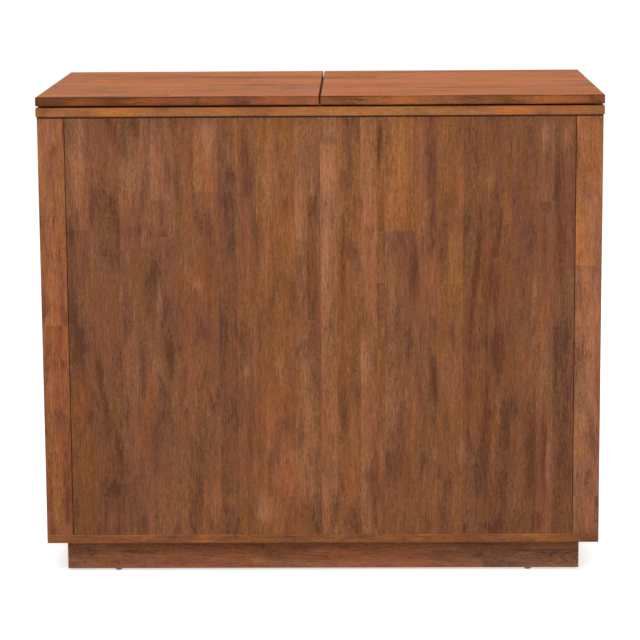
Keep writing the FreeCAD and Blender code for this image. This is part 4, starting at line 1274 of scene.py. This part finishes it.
@dataclass
class FlipTop(Assembly):
    """The fixed top, the two leaves that fold out over the sides, and their hinges and bumpers."""

    plate_thickness: float = 1.2 * MM
    hinge_length: float = 60 * MM
    screw_line_share: float = 0.64
    screw_spread: float = 20 * MM
    screw_stagger: float = 4.5 * MM

    def _screw_places(self, side: Side, facing: Vector, surface: float) -> list[Place]:
        """Sets three staggered screws on each plate of one side.

        Args:
            side: the side of the cabinet.
            facing: the way that the plates face.
            surface: the height of the plates' open face.
        Returns:
            The middles of the heads with the way they face.
        """
        low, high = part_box("left_leaf_hinge_plates")
        line = abs(low.x) - self.screw_line_share * (high.x - low.x)
        places = []
        for row in (low.y + self.hinge_length / 2, high.y - self.hinge_length / 2):
            for step in (-1, 0, 1):
                aside = line + (-self.screw_stagger if step else self.screw_stagger)
                spot = Vector((side.value * aside, row + step * self.screw_spread, surface))
                places.append((spot, facing))
        return places

    def build(self) -> None:
        """Builds the countersunk screws of the leaf hinges."""
        base_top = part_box("fixed_top")[1].z + self.plate_thickness
        leaf_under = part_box("left_top_leaf")[0].z - self.plate_thickness
        still = []
        for side in Side:
            still += self._screw_places(side, UP, base_top)
            places = self._screw_places(side, DOWN, leaf_under)
            HINGE_SCREW.group(f"{side.word}_leaf_hinge_screws", places, BRASS, f"{side.word}_leaf")
        HINGE_SCREW.group("top_hinge_base_screws", still, BRASS, CASE)

    def dress(self) -> None:
        """Gives the boards, hinges and bumpers their finish."""
        # Its arrises are darkened: stain taken on them, and along the lower front arris the shade over the
        # panel, painted on
        edges = Edges(*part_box("fixed_top"), Tone.DUSKY)
        dress("fixed_top", FIXED_TOP_WOOD.material(Grain.LEVEL_X_WIDE_Y, FIXED_TOP_FIGURE, edges))
        for side, figure in ((Side.LEFT, LEFT_LEAF_FIGURE), (Side.RIGHT, RIGHT_LEAF_FIGURE)):
            node = f"{side.word}_top_leaf"
            # The leaves' arrises are darkened as painted shade with some pooled stain, and their narrow faces
            # are darker than their tops, whose lighter colour is partly painted light
            edges = Edges(*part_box(node), Tone.VERY_DARK, Tone.DARK, Hue.WARM)
            dress(node, LEAF_WOOD.material(Grain.LEVEL_X_WIDE_Y, figure, edges, side.word))
            dress(f"{side.word}_leaf_hinge_plates", BRASS.material())
            dress(f"{side.word}_leaf_bumpers", BUMPER_RUBBER.material())
        dress("top_hinge_base_plates", BRASS.material())
        dress("hinge_pins", BRASS.material())


@dataclass
class Lopers(Assembly):
    """The pull-out supports of the open leaves and the channels that they run in."""

    def dress(self) -> None:
        """Gives the supports, channels and stop blocks their finish."""
        bare = BARE_WOOD.material(Grain.LEVEL_X_WIDE_Z)
        for row in ("front", "rear"):
            dress(f"{row}_loper_guide", bare)
            for side in Side:
                dress(f"{row}_{side.word}_loper", bare, self.sanded_edge)
        dress("loper_stop_blocks", bare, self.sanded_edge)


@dataclass
class Drawer(Assembly):
    """One drawer: front, box and pull, with the screws that show inside it."""

    side: Side
    pull_edge: float = 0.4 * MM
    side_thickness: float = 12 * MM
    pull_screw_spread: float = 32 * MM
    front_screw_inset: float = 40 * MM
    front_screw_rise: float = 24 * MM

    def build(self) -> None:
        """Builds the screws of pull and front on the inside of the box."""
        body = f"{self.side.word}_drawer"
        low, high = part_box(f"{body}_box")
        pull_low, pull_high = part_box(f"{body}_pull")
        middle = (pull_low + pull_high) / 2
        middle.y = high.y - self.side_thickness
        pull = in_row(middle, Vector((self.pull_screw_spread, 0, 0)), TO_GUESTS)
        PULL_SCREW.group(f"{body}_pull_screws", pull, ZINC_STEEL, body)
        front = []
        for x in (low.x + self.front_screw_inset, high.x - self.front_screw_inset):
            spot = Vector((x, middle.y, middle.z))
            front += in_row(spot, Vector((0, 0, self.front_screw_rise)), TO_GUESTS)
        WOOD_SCREW.group(f"{body}_front_screws", front, ZINC_STEEL, body)

    def dress(self) -> None:
        """Gives front, box and pull their finish."""
        body = f"{self.side.word}_drawer"
        dress(f"{body}_front", DOOR_WOOD.material(Grain.LEVEL_X_WIDE_Z))
        dress(f"{body}_pull", FRAME_WOOD.material(Grain.LEVEL_X_WIDE_Z), self.pull_edge)
        low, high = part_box(f"{body}_box")
        inner = (low.x + self.side_thickness, high.x - self.side_thickness)
        box = BARE_WOOD.material(Grain.LEVEL_X_WIDE_Z, mark=body, sides=inner)
        dress(f"{body}_box", box, self.sanded_edge)


@dataclass
class Door(Assembly):
    """One door: board, pull, hinges and strike plate, with their screws."""

    side: Side
    pull_edge: float = 0.4 * MM
    plate_edge: float = 0.3 * MM
    plate_thickness: float = 1.0 * MM
    hinge_length: float = 50 * MM
    hinge_screw_inset: float = 8 * MM
    hinge_screw_spread: float = 15 * MM
    pull_screw_spread: float = 32 * MM
    strike_screw_spread: float = 11 * MM

    def _hinge_places(self, x: float, way: int) -> list[Place]:
        """Sets two screws on each plate of the door's hinges.

        Args:
            x: where the plates' open face is.
            way: 1 where it faces +X, -1 where it faces -X.
        Returns:
            The middles of the heads with the way they face.
        """
        low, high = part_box(f"{self.side.word}_door_hinge_plates")
        places = []
        for row in (low.z + self.hinge_length / 2, high.z - self.hinge_length / 2):
            spot = Vector((x, low.y + self.hinge_screw_inset, row))
            places += in_row(spot, Vector((0, 0, self.hinge_screw_spread)), Vector((way, 0, 0)))
        return places

    def build(self) -> None:
        """Builds the screws of hinges, pull and strike plate."""
        door, sign = f"{self.side.word}_door", self.side.value
        body = f"{door}_leaf"
        door_low, door_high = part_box(door)
        edge = max(abs(door_low.x), abs(door_high.x)) + self.plate_thickness
        HINGE_SCREW.group(f"{door}_hinge_screws", self._hinge_places(sign * edge, sign), BRASS, body)
        stile_low, stile_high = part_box(f"{self.side.word}_rear_stile")
        jamb = min(abs(stile_low.x), abs(stile_high.x)) - self.plate_thickness
        HINGE_SCREW.group(f"{door}_frame_screws", self._hinge_places(sign * jamb, -sign), BRASS, CASE)
        for group, node, under, head, spread in (
            ("pull_screws", "pull", door, PULL_SCREW, self.pull_screw_spread),
            ("strike_screws", "strike_plate", f"{door}_strike_plate", CATCH_SCREW, self.strike_screw_spread),
        ):
            low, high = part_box(f"{door}_{node}")
            middle = (low + high) / 2
            middle.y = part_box(under)[0].y
            head.group(f"{door}_{group}", in_row(middle, spread * UP, TO_GUESTS), ZINC_STEEL, body)

    def dress(self) -> None:
        """Gives door, pull, hinges and strike plate their finish."""
        door = f"{self.side.word}_door"
        dress(door, DOOR_WOOD.material(Grain.UPRIGHT_WIDE_X))
        dress(f"{door}_pull", FRAME_WOOD.material(Grain.UPRIGHT_WIDE_X), self.pull_edge)
        dress(f"{door}_hinge_plates", BRASS.material())
        dress(f"{door}_strike_plate", ZINC_STEEL.material(), self.plate_edge)


@dataclass
class BackFittings(Assembly):
    """What hangs behind the doors and in the middle bay: catches, bottle rack, rails and guides."""

    catch_screw_spread: float = 15 * MM
    rails: int = 4
    rail_half_width: float = 8 * MM
    rail_screw_inset: float = 30 * MM

    def build(self) -> None:
        """Builds the screws of catches and stemware rails."""
        low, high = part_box("door_catches")
        middle = (low + high) / 2
        places = []
        for side in Side:
            spot = Vector((side.value * high.x, middle.y, middle.z))
            places += in_row(spot, self.catch_screw_spread * UP, Vector((side.value, 0, 0)))
        CATCH_SCREW.group("door_catch_screws", places, ZINC_STEEL, CASE)
        low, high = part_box("stemware_rails")
        step = Vector((0, (high.y - low.y) / 2 - self.rail_screw_inset, 0))
        places = []
        for number in range(self.rails):
            x = low.x + number * (high.x - low.x) / (self.rails - 1)
            x = min(max(x, low.x + self.rail_half_width), high.x - self.rail_half_width)
            places += in_row(Vector((x, (low.y + high.y) / 2, low.z)), step, DOWN, (-1, 0, 1))
        WOOD_SCREW.group("stemware_rail_screws", places, ZINC_STEEL, CASE)

    def dress(self) -> None:
        """Gives catches, door frame plates, rack and rails their finish."""
        dress("door_catches", CATCH_ABS.material())
        dress("door_hinge_frame_plates", BRASS.material())
        dress("bottle_rack_boards", FRAME_WOOD.material(Grain.LEVEL_Y_WIDE_X), self.sanded_edge)
        dress("stemware_rails", FRAME_WOOD.material(Grain.LEVEL_Y_WIDE_X))
        dress("drawer_side_guides", BARE_WOOD.material(Grain.LEVEL_Y_WIDE_Z), self.sanded_edge)


def seen_directly(tree: Tree) -> Socket:
    """Tells the camera's rays, and reflected and transmitted ones, from those that light the object.

    Args:
        tree: the node tree.
    Returns:
        1 for a ray that should find a white background.
    """
    ray = add(tree, "LightPath", out=None)
    seen = ray.outputs["Is Camera Ray"]
    for kind in ("Is Glossy Ray", "Is Transmission Ray"):
        seen = add(tree, "Math", [seen, ray.outputs[kind]], operation="MAXIMUM")
    return seen


@dataclass(frozen=True)
class Softbox:
    """A square soft lamp that hangs at a place and faces a target; its power is in watts."""

    name: str
    place: Point
    target: Point
    width: float
    power: float

    def hang(self) -> None:
        """Hangs the lamp; only those on the guest side show in reflections."""
        data = bpy.data.lights.new(self.name, "AREA")
        data.shape = "SQUARE"
        data.size = self.width
        data.energy = self.power
        lamp = bpy.data.objects.new(self.name, data)
        lamp.location = self.place
        lamp.rotation_mode = "QUATERNION"
        lamp.rotation_quaternion = (Vector(self.target) - Vector(self.place)).to_track_quat("-Z", "Y")
        lamp.visible_glossy = self.place[1] < 0
        bpy.context.scene.collection.objects.link(lamp)


@dataclass
class Studio:
    """A pale floor, soft light from above and the front, and the camera of the photograph.

    Lens and sensor are in millimetres, the camera's angles in radians. The floor's glow is what it adds where
    it is seen directly, so that it is white.
    """

    camera_place: Point = (0.07133, -4.77423, 1.25886)
    lens: float = 144.1
    sensor: float = 36.0
    pitch: float = 0.17396
    yaw: float = -0.01628
    roll: float = -0.00678
    sky: float = 0.46
    floor_glow: float = 0.62
    floor_reach: float = 40.0
    lamps: tuple[Softbox, ...] = (
        Softbox("key_softbox", (-0.7, -3.0, 2.9), (0.0, 0.0, 0.45), 2.4, 56.0),
        Softbox("fill_softbox", (2.4, -2.6, 1.5), (0.0, 0.0, 0.4), 2.0, 14.0),
        Softbox("top_softbox", (0.0, 0.2, 3.6), (0.0, 0.0, 0.8), 2.6, 12.0),
        Softbox("rear_softbox", (0.8, 3.0, 2.8), (0.0, 0.0, 0.45), 2.4, 40.0),
    )

    def build(self) -> None:
        """Builds camera, world, lamps and floor."""
        self._camera()
        self._world()
        for lamp in self.lamps:
            lamp.hang()
        self._floor()
        LOG.info("studio built")

    def _camera(self) -> None:
        """Sets up the camera at the photograph's place and angle."""
        data = bpy.data.cameras.new("photo_camera")
        data.lens = self.lens
        data.sensor_width = self.sensor
        camera = bpy.data.objects.new("photo_camera", data)
        ahead = Vector((math.sin(self.yaw) * math.cos(self.pitch), math.cos(self.yaw) * math.cos(self.pitch),
                        -math.sin(self.pitch)))
        level = Vector((math.cos(self.yaw), -math.sin(self.yaw), 0.0))
        upward = level.cross(ahead)
        right = level * math.cos(self.roll) + upward * math.sin(self.roll)
        top = upward * math.cos(self.roll) - level * math.sin(self.roll)
        turned = Matrix((right, top, -ahead)).transposed()
        camera.matrix_world = Matrix.Translation(self.camera_place) @ turned.to_4x4()
        bpy.context.scene.collection.objects.link(camera)
        bpy.context.scene.camera = camera

    def _world(self) -> None:
        """White for the camera and for reflections, a softer white as the sky that lights the object."""
        world = bpy.data.worlds.new("studio_sky")
        bpy.context.scene.world = world
        world.use_nodes = True
        tree = world.node_tree
        tree.nodes.clear()
        light, white = (add(tree, "Background", {"Color": WHITE, "Strength": strength})
                        for strength in (self.sky, 1.0))
        mixed = add(tree, "MixShader", [seen_directly(tree), light, white])
        add(tree, "OutputWorld", [mixed], out=None)
        bpy.context.scene.view_settings.view_transform = "Standard"

    def _floor(self) -> None:
        """Lays a wide white floor that keeps the object's shadow and is white to the camera elsewhere."""
        made = blank("paper_floor_white")
        tree = made.node_tree
        glow = add(tree, "Math", [seen_directly(tree), self.floor_glow], operation="MULTIPLY")
        paper = add(tree, "BsdfDiffuse", {"Color": linear("#F0F0F0")})
        light = add(tree, "Emission", {"Color": WHITE, "Strength": glow})
        mixed = add(tree, "AddShader", [paper, light])
        add(tree, "OutputMaterial", [mixed], out=None)
        mesh = bmesh.new()
        bmesh.ops.create_grid(mesh, x_segments=1, y_segments=1, size=self.floor_reach)
        data = bpy.data.meshes.new("studio_floor")
        mesh.to_mesh(data)
        mesh.free()
        data.materials.append(made)
        floor = bpy.data.objects.new("studio_floor", data)
        bpy.context.scene.collection.objects.link(floor)


def write_sizes() -> None:
    """Brings the scene up to date."""
    bpy.context.view_layer.update()


def main() -> None:
    """Builds and dresses the sub-assemblies in order, then the studio."""
    logging.basicConfig(level=logging.INFO, format="%(name)s: %(message)s")
    drawers, doors = [Drawer(side) for side in Side], [Door(side) for side in Side]
    for assembly in (Carcass(), Plinth(), FlipTop(), Lopers(), *drawers, *doors, BackFittings()):
        assembly.build()
        assembly.dress()
    Studio().build()
    write_sizes()


if __name__ == "__main__":
    main()
